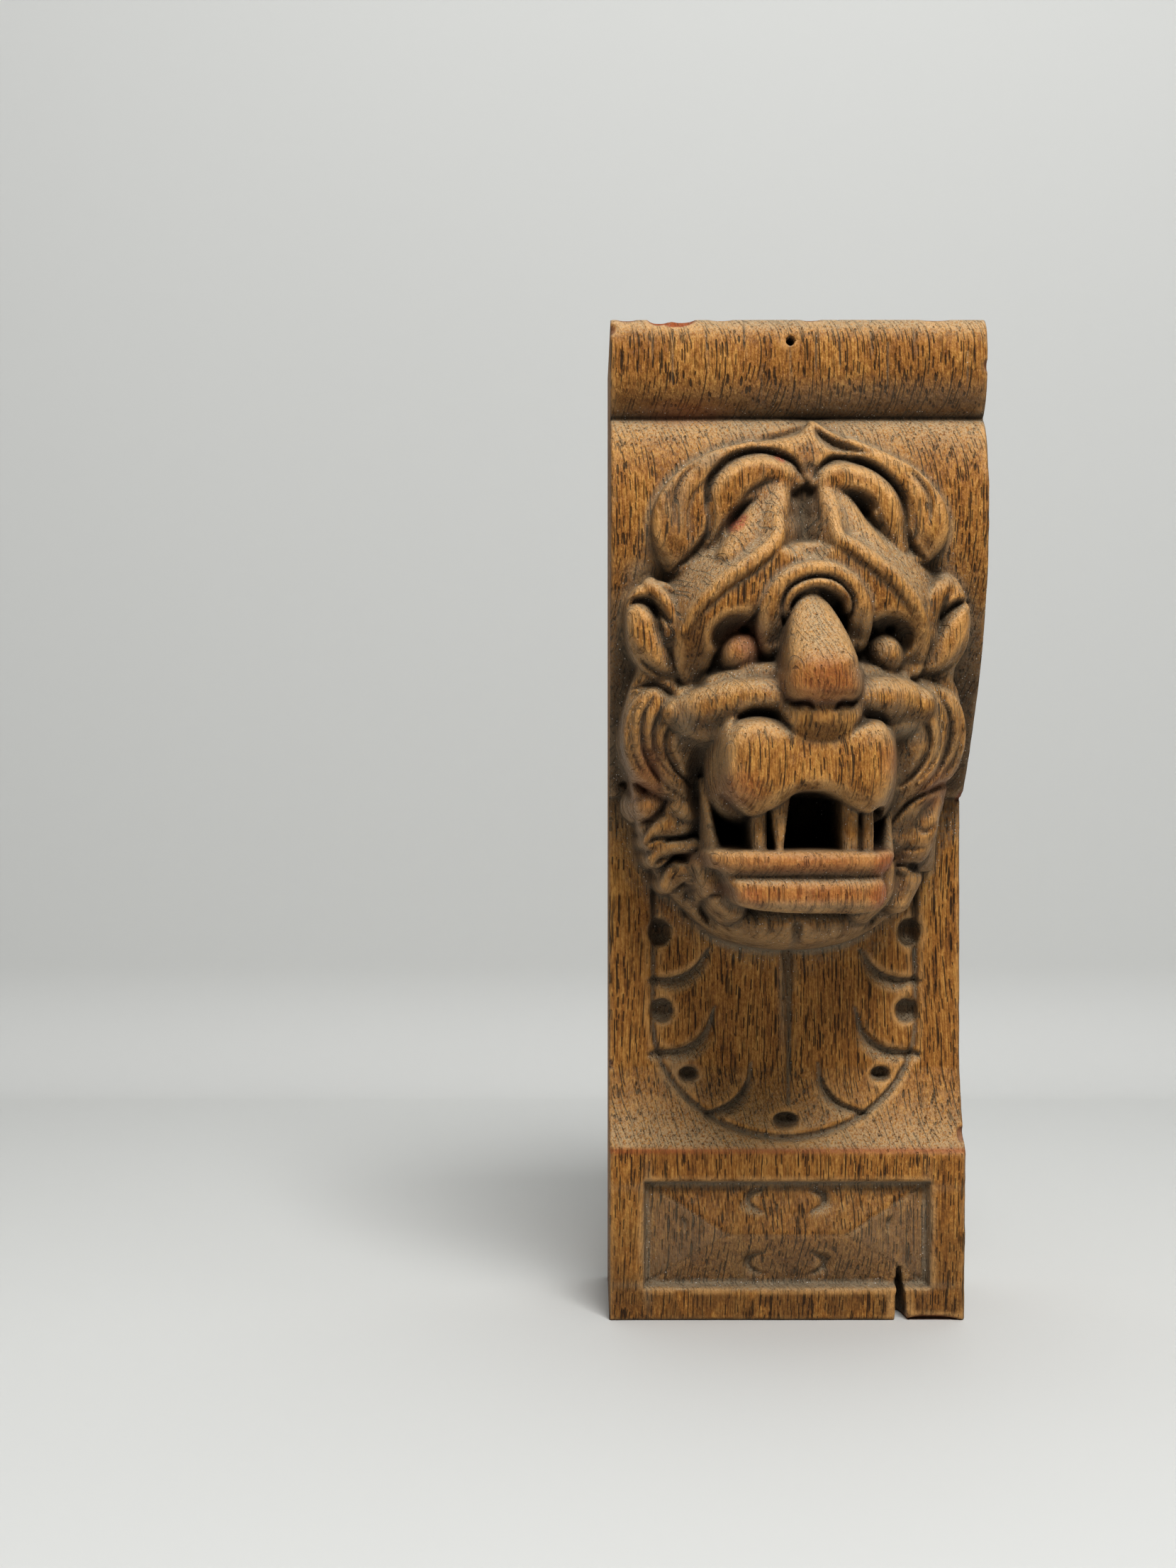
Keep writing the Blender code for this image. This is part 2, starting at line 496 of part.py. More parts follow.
def carve_crown(relief):
    """The two leaf scrolls that fall from the tip over the temples."""
    relief.plate(CROWN_OUTLINE, lambda part: relief.ground[part] + 4.8 * relief.scale, 3.2)
    lobes = (
        (
            (-13, 239.5, 1.8, 5.2), (-22, 236.4, 2.4, 5.8), (-29.5, 231, 3.2, 6), (-34, 224, 4.2, 6.4),
            (-34.3, 216, 4.6, 6.6), (-31.5, 210.6, 3.4, 5.6),
        ),
        (
            (13, 240.4, 1.8, 5.2), (22, 235.6, 2.4, 5.8), (29, 230.4, 3.2, 6), (33.6, 223, 4.2, 6.4),
            (34.2, 216.4, 4.2, 6.6), (32.2, 212.2, 3, 5.6),
        ),
        (
            (-4, 233.5, 3, 5.6), (-11, 234, 4.2, 7), (-18, 230, 4.6, 7.2), (-21, 223, 4.2, 6.6),
            (-22.5, 216, 3.4, 6),
        ),
        (
            (7, 231.8, 3, 5.6), (13, 231.4, 4.2, 7), (19.5, 227.6, 4.6, 7.2), (23, 221.6, 4, 6.8),
            (25.5, 214.6, 3.2, 6.2),
        ),
    )
    for lobe in lobes:
        relief.ridge(lobe, soft=1.6, drop=0.5, power=3.0, lift=True)
    left_band = (
        (1.8, 229.8, 1.1, 2), (-1.8, 235.6, 1.5, 4), (-6.4, 238.1, 1.8, 4.4), (-11.6, 238.8, 1.9, 4.4),
        (-16.8, 237.6, 1.9, 4.2), (-20.8, 235, 1.9, 4), (-24, 231.3, 1.7, 3.6), (-25, 226.6, 1.5, 2.8),
        (-24.6, 219.7, 1.4, 2.8), (-25.6, 215.1, 1.7, 3.6), (-29.3, 210.8, 1.6, 3.4),
        (-33.8, 207.4, 0.8, 1.2),
    )
    right_band = (
        (3, 231.6, 1.1, 2), (6.7, 235.9, 1.5, 4), (10.6, 237, 1.8, 4.4), (17.2, 235.3, 1.9, 4.2),
        (22.3, 231.8, 1.9, 4), (26.3, 226.9, 1.7, 3.6), (27.5, 221.9, 1.5, 2.8), (27.7, 217.7, 1.5, 3),
        (29.2, 213.4, 1.6, 3.4), (33.2, 209.4, 0.8, 1.2),
    )
    relief.groove(left_band, flanks=(2.0, 0.7))
    relief.groove(right_band, flanks=(0.7, 2.0))
    relief.groove(
        (
            (-27.5, 234.9, 0.6, 0.5), (-30.4, 232.6, 1.2, 2), (-32.7, 228.8, 1.3, 2.3),
            (-33.7, 224.3, 1.1, 2), (-33.1, 220.5, 0.8, 1.2), (-32.5, 216.4, 0.5, 0.4),
        ),
        flanks=(1.7, 0.8),
    )
    relief.groove(
        (
            (27.5, 233.6, 0.6, 0.5), (30.3, 231.4, 1.2, 2), (32.9, 227.5, 1.3, 2.3),
            (33.7, 222.9, 1.1, 2), (33.3, 218.8, 0.5, 0.4),
        ),
        flanks=(0.8, 1.7),
    )
    relief.groove(
        (
            (-20.4, 220.4, 0.7, 0.6), (-21.4, 215.6, 1.5, 2.8), (-24.9, 210.4, 1.6, 3),
            (-29.8, 206.6, 0.7, 0.8),
        ),
        flanks=(0.8, 1.6),
    )
    relief.groove(
        (
            (19.8, 223.2, 0.7, 0.8), (21.1, 216.4, 1.4, 2.6), (23.3, 212.3, 1.5, 2.8),
            (28.6, 209, 0.7, 0.8),
        ),
        flanks=(1.6, 0.8),
    )
    relief.groove(
        (
            (3.8, 246.3, 0.6, 1), (5.6, 243.3, 1.6, 4.2), (9.6, 240.4, 1.9, 4.6),
            (14.2, 238.9, 1.2, 2.6), (18, 238, 0.5, 0.4),
        ),
        flanks=(1, 1.5),
        power=1.0,
    )
    relief.groove(
        ((2.2, 246.4, 0.5, 0.6), (-1.6, 244.6, 1, 1.8), (-6, 243.2, 1.2, 1.8), (-11, 242, 0.6, 0.5)),
        flanks=(1.2, 1.2),
    )
    for x, z, half_x, half_z, cut, turn in (
        (-14.8, 220.6, 7, 4, 6.4, 38), (-12.6, 216.6, 6, 3.6, 5, 52), (14.6, 224.6, 5.6, 3.4, 6.2, -22),
        (16.6, 219.6, 6, 3.2, 4.6, -58),
    ):
        relief.pit(x, z, half_x, half_z, cut, turn)


def carve_face(relief):
    """The swelling under the face, with a hollow beside the muzzle."""
    relief.lump(1, 196, 30, 30, 100.5, 14, soft=4)
    relief.lump(0.5, 170, 29, 30, 103, 26, soft=4)
    relief.lump(1, 150, 22, 22, 102, 30, soft=3)
    relief.pit(-24.5, 150, 6, 12, 6, turn=8, power=1.6)


def carve_brows(relief):
    """Two sharp ridges down the forehead that turn out into heavy brows, with a channel between them."""
    relief.lump(1.5, 205.5, 13.5, 8.5, 108.2, 7, soft=2.5, power=2.6)
    ridges = (
        ((-4.4, 231, 1.8, 97.5), (-6, 225, 3, 101.5), (-7.4, 218.5, 3.6, 105), (-8.6, 211, 4.4, 107.8)),
        (
            (5.8, 230.5, 1.8, 97.5), (6.8, 225, 2.8, 101.5), (8, 218.5, 3.4, 105),
            (9.2, 211.6, 4.4, 107.8),
        ),
    )
    slopes = (
        (
            (-6.6, 229.5, 3.0, 97.5), (-9.4, 222.5, 5.0, 100.5), (-12.6, 215.5, 6.2, 104),
            (-17, 209, 6, 106),
        ),
        (
            (8.4, 229, 3.0, 97.5), (10.6, 222.5, 4.6, 100.5), (13.4, 215.5, 5.8, 104),
            (18, 209.5, 5.6, 106),
        ),
    )
    for ridge in slopes + ridges:
        relief.ridge(ridge, drop=1.3, wall=3.0)
    brows = (
        (
            (-7.6, 207, 6, 108.6), (-13.6, 202.6, 6.6, 108.6), (-20, 197.8, 6.8, 107.8),
            (-25.2, 192.6, 6.6, 106), (-28, 186.6, 5.6, 102.5), (-28.2, 181, 4.4, 98.5),
            (-26.8, 177.4, 2.4, 95),
        ),
        (
            (9.6, 207.6, 6, 108.6), (15.2, 204, 6.4, 108.6), (21, 199.2, 6.6, 107.8),
            (26, 193.6, 6.2, 106), (28.2, 187.6, 5.2, 102.5), (28.4, 182.4, 3.8, 98.5),
        ),
    )
    for brow in brows:
        relief.ridge(brow, soft=1.2, drop=0.8, power=4.0)
    crests = (
        (
            (-6.6, 222, 1.4, 104), (-7.4, 214, 2, 109.2), (-13.4, 208, 2.4, 110.6),
            (-20.1, 203.4, 2.4, 110), (-26.4, 197.4, 2.2, 108), (-30.6, 190.6, 1.8, 104.6),
        ),
        (
            (7.6, 222, 1.4, 104), (8.6, 214.4, 2, 109.2), (12.6, 211.4, 2.4, 110.2),
            (18.4, 207.4, 2.4, 110.4), (24.2, 202.2, 2.4, 109.4), (28.6, 196.4, 2.2, 107.4),
            (30.2, 190.8, 1.8, 104.4),
        ),
    )
    for crest in crests:
        relief.ridge(crest, soft=0.8, drop=1.2, wall=1.6)
    relief.channel(
        (
            (2.4, 233, 3.6, 96), (0.9, 227, 5, 98.4), (0.5, 220.6, 5.8, 101.2),
            (1.2, 215.8, 5.9, 103.4), (1.8, 213, 5, 105),
        )
    )


def carve_eyes(relief):
    """The eyeballs in their sockets, each with a drilled corner."""
    for x, half in ((-16.2, 5.2), (21.8, 4.7)):
        relief.socket(x + math.copysign(0.8, x), 188, half + 2, 6.2, 97.5, 6)
        relief.lump(x, 185.2, half, 5.8, 105, 8, turn=math.copysign(24, x), soft=1.0)
        relief.pit(x + 1.4, 191.4, 1.3, 1.1, 6, power=4)
        relief.pit(x - 1.8, 180.6, 2.8, 1.3, 1.6, turn=-14)


def carve_cheeks(relief):
    """The cheekbones that stand out like wings at both sides of the nose."""
    wings = (
        (
            (-2.5, 171.8, 4.6, 114.5), (-8.5, 173.2, 5.2, 113.6), (-15, 172.8, 6, 111.6),
            (-22, 171.2, 6.4, 108), (-28.4, 170, 5.6, 104), (-32.4, 169.6, 4, 100),
        ),
        (
            (8.6, 171.8, 4.6, 114.5), (14, 173.2, 5.2, 113.6), (19.5, 173, 6, 111.6),
            (25.4, 172.6, 6.2, 108), (30, 171.6, 5, 104),
        ),
    )
    undersides = (
        ((-17, 165.6, 4, 105), (-23, 166, 4.6, 104), (-29, 167, 4, 101.5)),
        ((19, 166.4, 4, 105), (24.4, 167, 4.6, 104), (28.4, 168.4, 4, 102)),
    )
    shelves = (
        ((-4, 179, 4, 108), (-10, 178.6, 4, 106.6), (-16, 177.8, 4, 104.6), (-22, 176, 4, 102)),
        ((9.6, 179, 4, 108), (14.6, 178.6, 4, 106.4), (20, 177.6, 4, 104.2), (25, 176.6, 4, 101.6)),
    )
    for shelf in shelves + undersides:
        relief.ridge(shelf, soft=3.0, drop=1.2, wall=3.0)
    for wing in wings:
        relief.ridge(wing, drop=1.3, wall=6.0)
    relief.lump(-21, 162.5, 8.5, 9, 92, 14, turn=-20, soft=5)
    relief.lump(23.5, 163.5, 8, 9, 92, 14, turn=20, soft=5)


def carve_folds(relief):
    """Two arched folds over the root of the nose."""
    outer = (
        (-8.4, 187.6, 3.3, 105.5), (-8.9, 192, 3.5, 108.6), (-8.3, 197.6, 3.3, 110.6),
        (-5.4, 202.2, 3, 111.8), (-1.2, 205, 2.7, 112.2), (3, 205.8, 2.6, 112.4),
        (7.2, 204.9, 2.7, 112.2), (11.2, 201.9, 3, 111.8), (13.8, 197.4, 3.3, 110.6),
        (14.3, 192.4, 3.4, 108.6), (13.8, 188.6, 3.2, 105.5),
    )
    inner = (
        (-5.6, 195.4, 1.5, 110.4), (-4.4, 199, 1.7, 112), (-1.2, 201.7, 1.8, 113),
        (2.8, 202.6, 1.8, 113.2), (6.8, 201.8, 1.8, 113), (10, 199.4, 1.7, 112),
        (11.2, 196.4, 1.5, 110.4),
    )
    relief.ridge(outer, soft=0.5, drop=1.3, power=2.6)
    relief.ridge(inner, soft=0.4, drop=1.6, power=2.2)
    relief.groove(
        (
            (-5.6, 192.5, 0.8, 1.5), (-6.1, 197.4, 1, 2.6), (-3.6, 201.8, 1, 2.8), (2.8, 204.1, 1, 2.8),
            (8.4, 202.6, 1, 2.8), (11.8, 198.4, 1, 2.6), (11.6, 194, 0.8, 1.5),
        )
    )
    relief.groove(
        (
            (-4, 193.5, 0.8, 1.5), (-2.8, 198.4, 1, 2.2), (2.8, 200.9, 1.1, 2.6), (8.2, 198.8, 1, 2.2),
            (9.6, 194.6, 0.8, 1.5),
        )
    )


def carve_nose(relief):
    """The long round nose."""
    bridge = (
        (1.4, 200, 2.2, 110), (1.4, 197, 4.6, 113), (1.8, 192, 6.8, 118), (2.5, 186.6, 8.2, 123),
        (3.1, 182.2, 9, 126.4), (3.4, 180.4, 9, 127.2),
    )
    relief.ridge(bridge, soft=0.8, drop=1.0, power=2.3, wall=8.0)
    relief.lump(3.6, 176.8, 9.4, 5.4, 126.6, 7, soft=1.2, power=3.0)


def carve_muzzle(relief):
    """The broad upper lip of two pads, under the arched grooves of the cheeks."""
    def top(part):
        lean = 0.0105 * (relief.z[part] - 153.5) ** 2
        turn = 0.0042 * (relief.x[part] - 0.8) ** 2
        return relief.drawn(119.5 - lean - turn)

    relief.plate(MUZZLE_OUTLINE, top, 4.8, soft=0.8)
    relief.lump(-12.4, 156.4, 8.8, 11.4, 119.8, 6, soft=2.5, power=2.8)
    relief.lump(13.8, 156.4, 8.2, 11.4, 119.8, 6, soft=2.5, power=2.8)
    relief.lump(3.4, 168, 10.4, 7.2, 122, 8, soft=3.5)
    relief.groove(
        (
            (-20.4, 162.2, 0.8, 1), (-18.2, 166.8, 1.5, 4.5), (-13.4, 169.4, 1.8, 6.5),
            (-8.4, 168.7, 1.7, 5.5), (-5, 165.4, 1, 2), (-3.2, 163.2, 0.5, 0.4),
        ),
        flanks=(0.8, 1.5),
    )
    relief.groove(
        (
            (10.4, 163.2, 0.5, 0.4), (12.4, 165.6, 1.2, 2.5), (16.2, 167.8, 1.6, 5),
            (19.9, 167.4, 1.5, 5), (22, 163.6, 1, 2),
        ),
        flanks=(1.5, 0.8),
    )
    for side in (-1, 1):
        nostril = (
            (9, 172.6, 0.5, 1), (7.2, 171.4, 1.1, 3.4), (4.4, 171.8, 1.3, 4), (2.6, 170, 0.6, 1.4),
        )
        relief.groove([(3.6 + side * x, z, half, cut) for x, z, half, cut in nostril])


def carve_jaw(relief):
    """The lower jaw: a straight lip, a hollow under it and the roll of the chin."""
    def top(part):
        x, z = relief.x[part], relief.z[part]
        bow = 5.0 * np.abs((x + 0.8) / 22.0) ** 4
        neck = 2.6 * np.exp(-(((z - 127.6) / 1.5) ** 2)) + 0.9 * (z < 127.6)
        chin = 0.05 * np.clip(122.0 - z, 0.0, None) ** 2
        return relief.drawn(115.6 - bow - neck - chin)

    relief.plate(JAW_OUTLINE, top, 2.2, soft=0.5)
    for fold in (
        ((-24.4, 129.6, 3, 87), (-21.6, 123.4, 4, 86), (-17, 117.6, 3.4, 83)),
        ((23, 128.6, 3, 87), (22, 122.6, 4, 85), (17.8, 117.4, 3.4, 82)),
    ):
        relief.ridge(fold, soft=3.0, drop=0.8, wall=5.0)


def carve_mouth(relief):
    """The open mouth with the square hole behind the teeth, the teeth and the corners of the lips."""
    def floor(part):
        x, z = relief.x[part], relief.z[part]
        cheek = 10.0 * np.clip((-10.0 - x) / 6.0, 0.0, 1.0)
        return relief.drawn(95.0 + cheek - 0.2 * (z - 134.0))

    relief.sink(MOUTH_OUTLINE, floor)
    relief.sink(THROAT_OUTLINE, lambda part: relief.drawn(78.0) + 0.0 * relief.x[part], wall=60.0)
    teeth = (
        ((-12, 147.5, 2.1, 110.5), (-12, 140, 2, 110.8), (-12, 134, 2.2, 111), (-12, 132.4, 2.2, 111)),
        (
            (-6.9, 149, 3.2, 111), (-6.9, 144, 2.4, 111.6), (-6.9, 139, 1.7, 112),
            (-6.9, 134, 1.1, 112), (-6.9, 132.4, 1, 112),
        ),
        (
            (11.3, 149, 2.4, 110.5), (11.3, 141, 2.3, 111), (11.2, 134, 2.4, 111),
            (11.2, 132.4, 2.3, 111),
        ),
        (
            (15.9, 147.5, 1.8, 109.6), (15.9, 140, 1.7, 110), (15.8, 134, 1.8, 110),
            (15.8, 132.4, 1.8, 110),
        ),
    )
    for tooth in teeth:
        relief.ridge(tooth, soft=0.3, power=2.5, wall=40.0)
    corners = (
        ((-25.6, 152, 0.9, 90), (-24.4, 145, 1.1, 94), (-23.4, 138, 1.3, 99), (-22.6, 133, 1.8, 106)),
        ((23.6, 146, 1, 88), (23.2, 139, 1.3, 94), (22.2, 133, 1.8, 102)),
    )
    for corner in corners:
        relief.ridge(corner, soft=1.2, drop=2.0)


def carve_beard(relief):
    """The oval tuft under the chin, with a curl beside it."""
    relief.lump(0.2, 113.2, 23.2, 8.6, 80, 22, soft=1.5)
    hem = (
        (-25.5, 119.8, 0.8, 1), (-23.8, 114.6, 1.5, 4), (-19.5, 109.8, 1.4, 3.4),
        (-10, 106.2, 1.2, 2.4), (0.6, 105.2, 1.2, 2.4), (12, 106.4, 1.2, 2.4), (20.5, 110.4, 1.4, 3.4),
        (25.2, 116.2, 1.2, 2.6),
    )
    relief.groove(hem, flanks=(1.6, 0.8))
    relief.groove(
        ((-20, 121.6, 0.6, 1), (-23.5, 120.6, 1.3, 3), (-24.6, 117, 1.6, 4.5), (-22.4, 113.8, 1, 2))
    )
    relief.groove(
        (
            (-26, 122.8, 0.5, 0.8), (-29, 120.4, 1.1, 2.2), (-29.2, 115.8, 1.1, 2.2),
            (-26.6, 112.2, 0.6, 0.8),
        ),
        flanks=(1.4, 0.8),
    )


def carve_leaf(relief):
    """The leaf on the shaft: its outline, a midrib, curved cuts between the lobes and their eyes."""
    foot = BLOCK_HEIGHT + LEAF_GAP
    top = QUIRK_HEIGHT - MASK_GAP - MASK_HEIGHT * (1.0 - LEAF_HIDDEN_SHARE)
    rise = top - foot
    half = LEAF_WIDTH / 2.0
    bend = foot + LEAF_ROUND_SHARE * LEAF_WIDTH
    turns = [math.pi * (1.0 + i / 10.0) for i in range(11)]
    bow = [(half * math.cos(a), bend + (bend - foot) * math.sin(a), 1.2, LEAF_OUTLINE_CUT) for a in turns]
    left = [(-half, z, 1.3, LEAF_OUTLINE_CUT) for z in (top, (top + bend) / 2.0)]
    right = [(half, z, 1.3, LEAF_OUTLINE_CUT) for z in ((top + bend) / 2.0, top)]
    relief.groove(left + bow + right, flanks=(1.3, 0.8), power=1.0)
    midrib = ((0.6, 0.83, 1.9, 1.15), (1.3, 0.60, 1.7, 1.1), (1.4, 0.35, 1.3, 0.9), (0.9, 0.13, 0.8, 0.5))
    relief.groove([(x, foot + rise * z, w, c * LEAF_OUTLINE_CUT) for x, z, w, c in midrib], power=0.8)
    gouges = (
        (
            (1.00, 0.600, 1.5, 0.7), (0.83, 0.600, 2.1, 1.0), (0.68, 0.640, 1.8, 0.85),
            (0.58, 0.715, 0.9, 0.3),
        ),
        (
            (1.00, 0.315, 1.4, 0.7), (0.77, 0.325, 2.3, 1.0), (0.61, 0.385, 2.0, 0.85),
            (0.54, 0.490, 0.9, 0.25),
        ),
        (
            (0.60, 0.085, 1.4, 0.6), (0.40, 0.125, 1.8, 0.9), (0.29, 0.195, 1.5, 0.8),
            (0.26, 0.275, 0.8, 0.25),
        ),
    )
    eyes = ((0.95, 0.785, 3.5, 4.2), (0.93, 0.480, 3.4, 3.8), (0.73, 0.235, 3.0, 2.2))
    for side in (-1, 1):
        flanks = (1.7, 0.8) if side > 0 else (0.8, 1.7)
        for gouge in gouges:
            route = [(side * half * x, foot + rise * z, w, c * LEAF_GOUGE_CUT) for x, z, w, c in gouge]
            relief.groove(route, flanks=flanks)
        for x, z, half_x, half_z in eyes:
            relief.pit(side * half * x, foot + rise * z, half_x, half_z, LEAF_EYE_CUT, power=3)
    relief.pit(0, foot + 0.065 * rise, 3.8, 2.2, LEAF_EYE_CUT, power=3)


def carve_panel(relief):
    """The sunk panel of the block, with a low hipped field and ovals of thumb cuts on its slopes."""
    half = WIDTH / 2.0 - PANEL_SIDE_RIM
    high = BLOCK_HEIGHT - PANEL_TOP_RIM
    middle = (PANEL_FOOT_RIM + high) / 2.0
    half_up = (high - PANEL_FOOT_RIM) / 2.0
    ridge = half * HIP_RIDGE_SHARE
    x, z = np.abs(relief.x), np.abs(relief.z - middle)
    inwards = np.minimum(half - x, half_up - z)
    side_slope = (half - HIP_INSET - x) / (half - HIP_INSET - ridge)
    face_slope = (half_up - HIP_INSET - z) / (half_up - HIP_INSET)
    field = HIP_RISE * np.clip(np.minimum(side_slope, face_slope), 0.0, 1.0)
    sunk = relief.depth - PANEL_SINK * np.clip(inwards / 0.8, 0.0, 1.0) + field
    relief.depth = np.where(inwards > 0.0, sunk, relief.depth)
    thumb = ((-0.95, 0.5, 0.2), (-0.4, 1.5, 0.8), (0.0, 2.0, 1.0), (0.4, 1.5, 0.8), (0.95, 0.5, 0.2))
    for up in (0.62, -0.56):
        for side in (-1, 1):
            route = []
            for turn, wide, share in thumb:
                across = side * 0.26 * half * math.cos(turn)
                route.append(
                    (across, middle + half_up * (up + 0.27 * math.sin(turn)), wide, share * THUMB_CUT)
                )
            relief.groove(route, flanks=(0.7, 1.6) if side > 0 else (1.6, 0.7))
    for side in (-1, 1):
        nick = ((0.745, 0.32, 0.5, 0.2), (0.71, 0.2, 1.4, 0.7), (0.715, 0.0, 0.5, 0.2))
        relief.groove([(side * half * a, middle + half_up * b, w, c * THUMB_CUT) for a, b, w, c in nick])


def carved_relief():
    """The whole relief."""
    relief = Relief(STEP)
    relief.on_mask()
    for carve in (
        carve_mane,
        carve_crown,
        carve_face,
        carve_brows,
        carve_eyes,
        carve_cheeks,
        carve_folds,
        carve_nose,
        carve_muzzle,
        carve_jaw,
        carve_mouth,
        carve_beard,
    ):
        carve(relief)
    relief.on_block()
    carve_leaf(relief)
    carve_panel(relief)
    return relief


def finish_mesh(bm, name):
    """Turns the faces out and stores the mesh."""
    bmesh.ops.recalc_face_normals(bm, faces=bm.faces)
    mesh = bpy.data.meshes.new(name)
    bm.to_mesh(mesh)
    bm.free()
    return mesh


def add_object(mesh, name, collection, helper=True):
    """Links an object. A helper only shapes the corbel and isn't part of it."""
    made = bpy.data.objects.new(name, mesh)
    if helper:
        made.hide_render = True
        made.display_type = "WIRE"
    collection.objects.link(made)
    return made


def lifted(height):
    """A height above the foot, seen from the origin halfway up."""
    return (height - HEIGHT / 2.0) * MM


def carved_slab(collection):
    """The relief as a closed slab that reaches behind the wall face, thinned where it is plain."""
    relief = carved_relief()
    rows, columns = relief.depth.shape
    bm = bmesh.new()
    bmesh.ops.create_grid(bm, x_segments=columns - 1, y_segments=rows - 1, size=0.5)
    for vert in bm.verts:
        column = round((vert.co.x + 0.5) * (columns - 1))
        row = round((vert.co.y + 0.5) * (rows - 1))
        x, z = relief.place_x[row, column], relief.place_z[row, column]
        vert.co = (x * MM, -relief.depth[row, column] * MM, lifted(z))
    rim = [edge for edge in bm.edges if edge.is_boundary]
    grown = bmesh.ops.extrude_edge_only(bm, edges=rim)["geom"]
    for item in grown:
        if isinstance(item, bmesh.types.BMVert):
            item.co.y = OVERLAP * MM
    back = [item for item in grown if isinstance(item, bmesh.types.BMEdge) and item.is_boundary]
    bmesh.ops.contextual_create(bm, geom=back)
    for face in bm.faces:
        face.smooth = len(face.verts) == 4
    slab = add_object(finish_mesh(bm, "carved_slab"), "carved_slab", collection)
    thin = slab.modifiers.new("thin_plain_stretches", "DECIMATE")
    thin.ratio = FRONT_TRIANGLES / (2.0 * (rows - 1) * (columns - 1))
    return slab


def sawn_blank(collection):
    """The squared blank."""
    deep = BULGE_DEPTH + MASK_HEIGHT
    bm = bmesh.new()
    bmesh.ops.create_cube(bm, size=1.0)
    bmesh.ops.scale(bm, vec=(WIDTH * MM, deep * MM, HEIGHT * MM), verts=bm.verts)
    bmesh.ops.translate(bm, vec=(0.0, -deep * MM / 2.0, 0.0), verts=bm.verts)
    return add_object(finish_mesh(bm, "corbel"), "corbel", collection, helper=False)


def nail_hole(collection):
    """The old nail hole in the roll."""
    bm = bmesh.new()
    radius, depth = NAIL_RADIUS * MM, 2.0 * NAIL_DEPTH * MM
    bmesh.ops.create_cone(bm, cap_ends=True, segments=10, radius1=radius, radius2=radius, depth=depth)
    bmesh.ops.rotate(bm, verts=bm.verts, matrix=Matrix.Rotation(math.radians(90.0), 3, "X"))
    bmesh.ops.translate(
        bm,
        verts=bm.verts,
        vec=(NAIL_SIDE * MM, -ROLL_DEPTH * MM, lifted(HEIGHT - NAIL_DROP)),
    )
    return add_object(finish_mesh(bm, "nail_hole"), "nail_hole", collection)


def foot_split(collection):
    """The wedge-shaped split at the foot of the block."""
    bm = bmesh.new()
    bmesh.ops.create_cube(bm, size=1.0)
    for vert in bm.verts:
        upper, behind = vert.co.z > 0.0, vert.co.y > 0.0
        narrow = 0.3 if upper or behind else 1.0
        vert.co.x = (SPLIT_SIDE + vert.co.x * SPLIT_WIDTH * narrow) * MM
        vert.co.y = -(BLOCK_DEPTH - SPLIT_DEPTH if behind else BLOCK_DEPTH + OVERLAP) * MM
        vert.co.z = lifted(SPLIT_HEIGHT if upper else -OVERLAP)
    return add_object(finish_mesh(bm, "foot_split"), "foot_split", collection)


def oak():
    """Old waxed oak."""
    material = bpy.data.materials.new("old_oak")
    material.use_nodes = True
    shader = material.node_tree.nodes["Principled BSDF"]
    shader.inputs["Base Color"].default_value = OAK_COLOUR
    shader.inputs["Roughness"].default_value = 0.5
    shader.inputs["Metallic"].default_value = 0.0
    return material


def shape_with(corbel, tool, operation):
    """Shapes the corbel with a helper."""
    modifier = corbel.modifiers.new(tool.name, "BOOLEAN")
    modifier.operation = operation
    modifier.object = tool
    modifier.solver = "EXACT"


def new_collection(name):
    """A collection linked to the scene."""
    collection = bpy.data.collections.new(name)
    bpy.context.scene.collection.children.link(collection)
    return collection


def main():
    """Builds the corbel."""
    for item in list(bpy.data.objects):
        bpy.data.objects.remove(item)
    parts = new_collection("corbel_bracket")
    helpers = new_collection("carving_helpers")
    corbel = sawn_blank(parts)
    corbel.data.materials.append(oak())
    shape_with(corbel, carved_slab(helpers), "INTERSECT")
    shape_with(corbel, nail_hole(helpers), "DIFFERENCE")
    shape_with(corbel, foot_split(helpers), "DIFFERENCE")


main()
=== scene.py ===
"""Carved oak corbel bracket with a lion mask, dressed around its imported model.

The wall face lies in the plane Y = 0, the front looks along -Y, and +Z is up. The
origin is the middle of the wall face. Carving sizes are in millimetres, with their
height above the foot, and the scene is in metres.

The front is carved as a relief: an array holds how far the wood stands from the wall
at each place. The relief, aged and worn, shapes a grid that is closed to one block.
"""

from __future__ import annotations

import logging
import math
from dataclasses import dataclass, field
from enum import Enum
from typing import Callable, Sequence

import bmesh
import bpy
import numpy as np
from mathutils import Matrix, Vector

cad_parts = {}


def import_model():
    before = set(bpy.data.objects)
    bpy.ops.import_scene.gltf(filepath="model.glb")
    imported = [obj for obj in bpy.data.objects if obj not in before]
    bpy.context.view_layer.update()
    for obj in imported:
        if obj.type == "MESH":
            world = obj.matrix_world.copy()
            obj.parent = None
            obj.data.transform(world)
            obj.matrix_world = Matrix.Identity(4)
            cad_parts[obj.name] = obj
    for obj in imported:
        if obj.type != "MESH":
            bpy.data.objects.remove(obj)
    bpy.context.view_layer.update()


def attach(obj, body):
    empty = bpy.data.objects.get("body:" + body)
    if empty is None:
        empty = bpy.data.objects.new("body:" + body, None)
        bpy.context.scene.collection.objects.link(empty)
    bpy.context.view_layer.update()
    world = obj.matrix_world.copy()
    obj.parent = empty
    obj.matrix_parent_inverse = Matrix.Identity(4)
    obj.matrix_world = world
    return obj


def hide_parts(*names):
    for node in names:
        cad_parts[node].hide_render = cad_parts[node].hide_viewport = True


LOG = logging.getLogger("corbel_bracket")
MM = 0.001

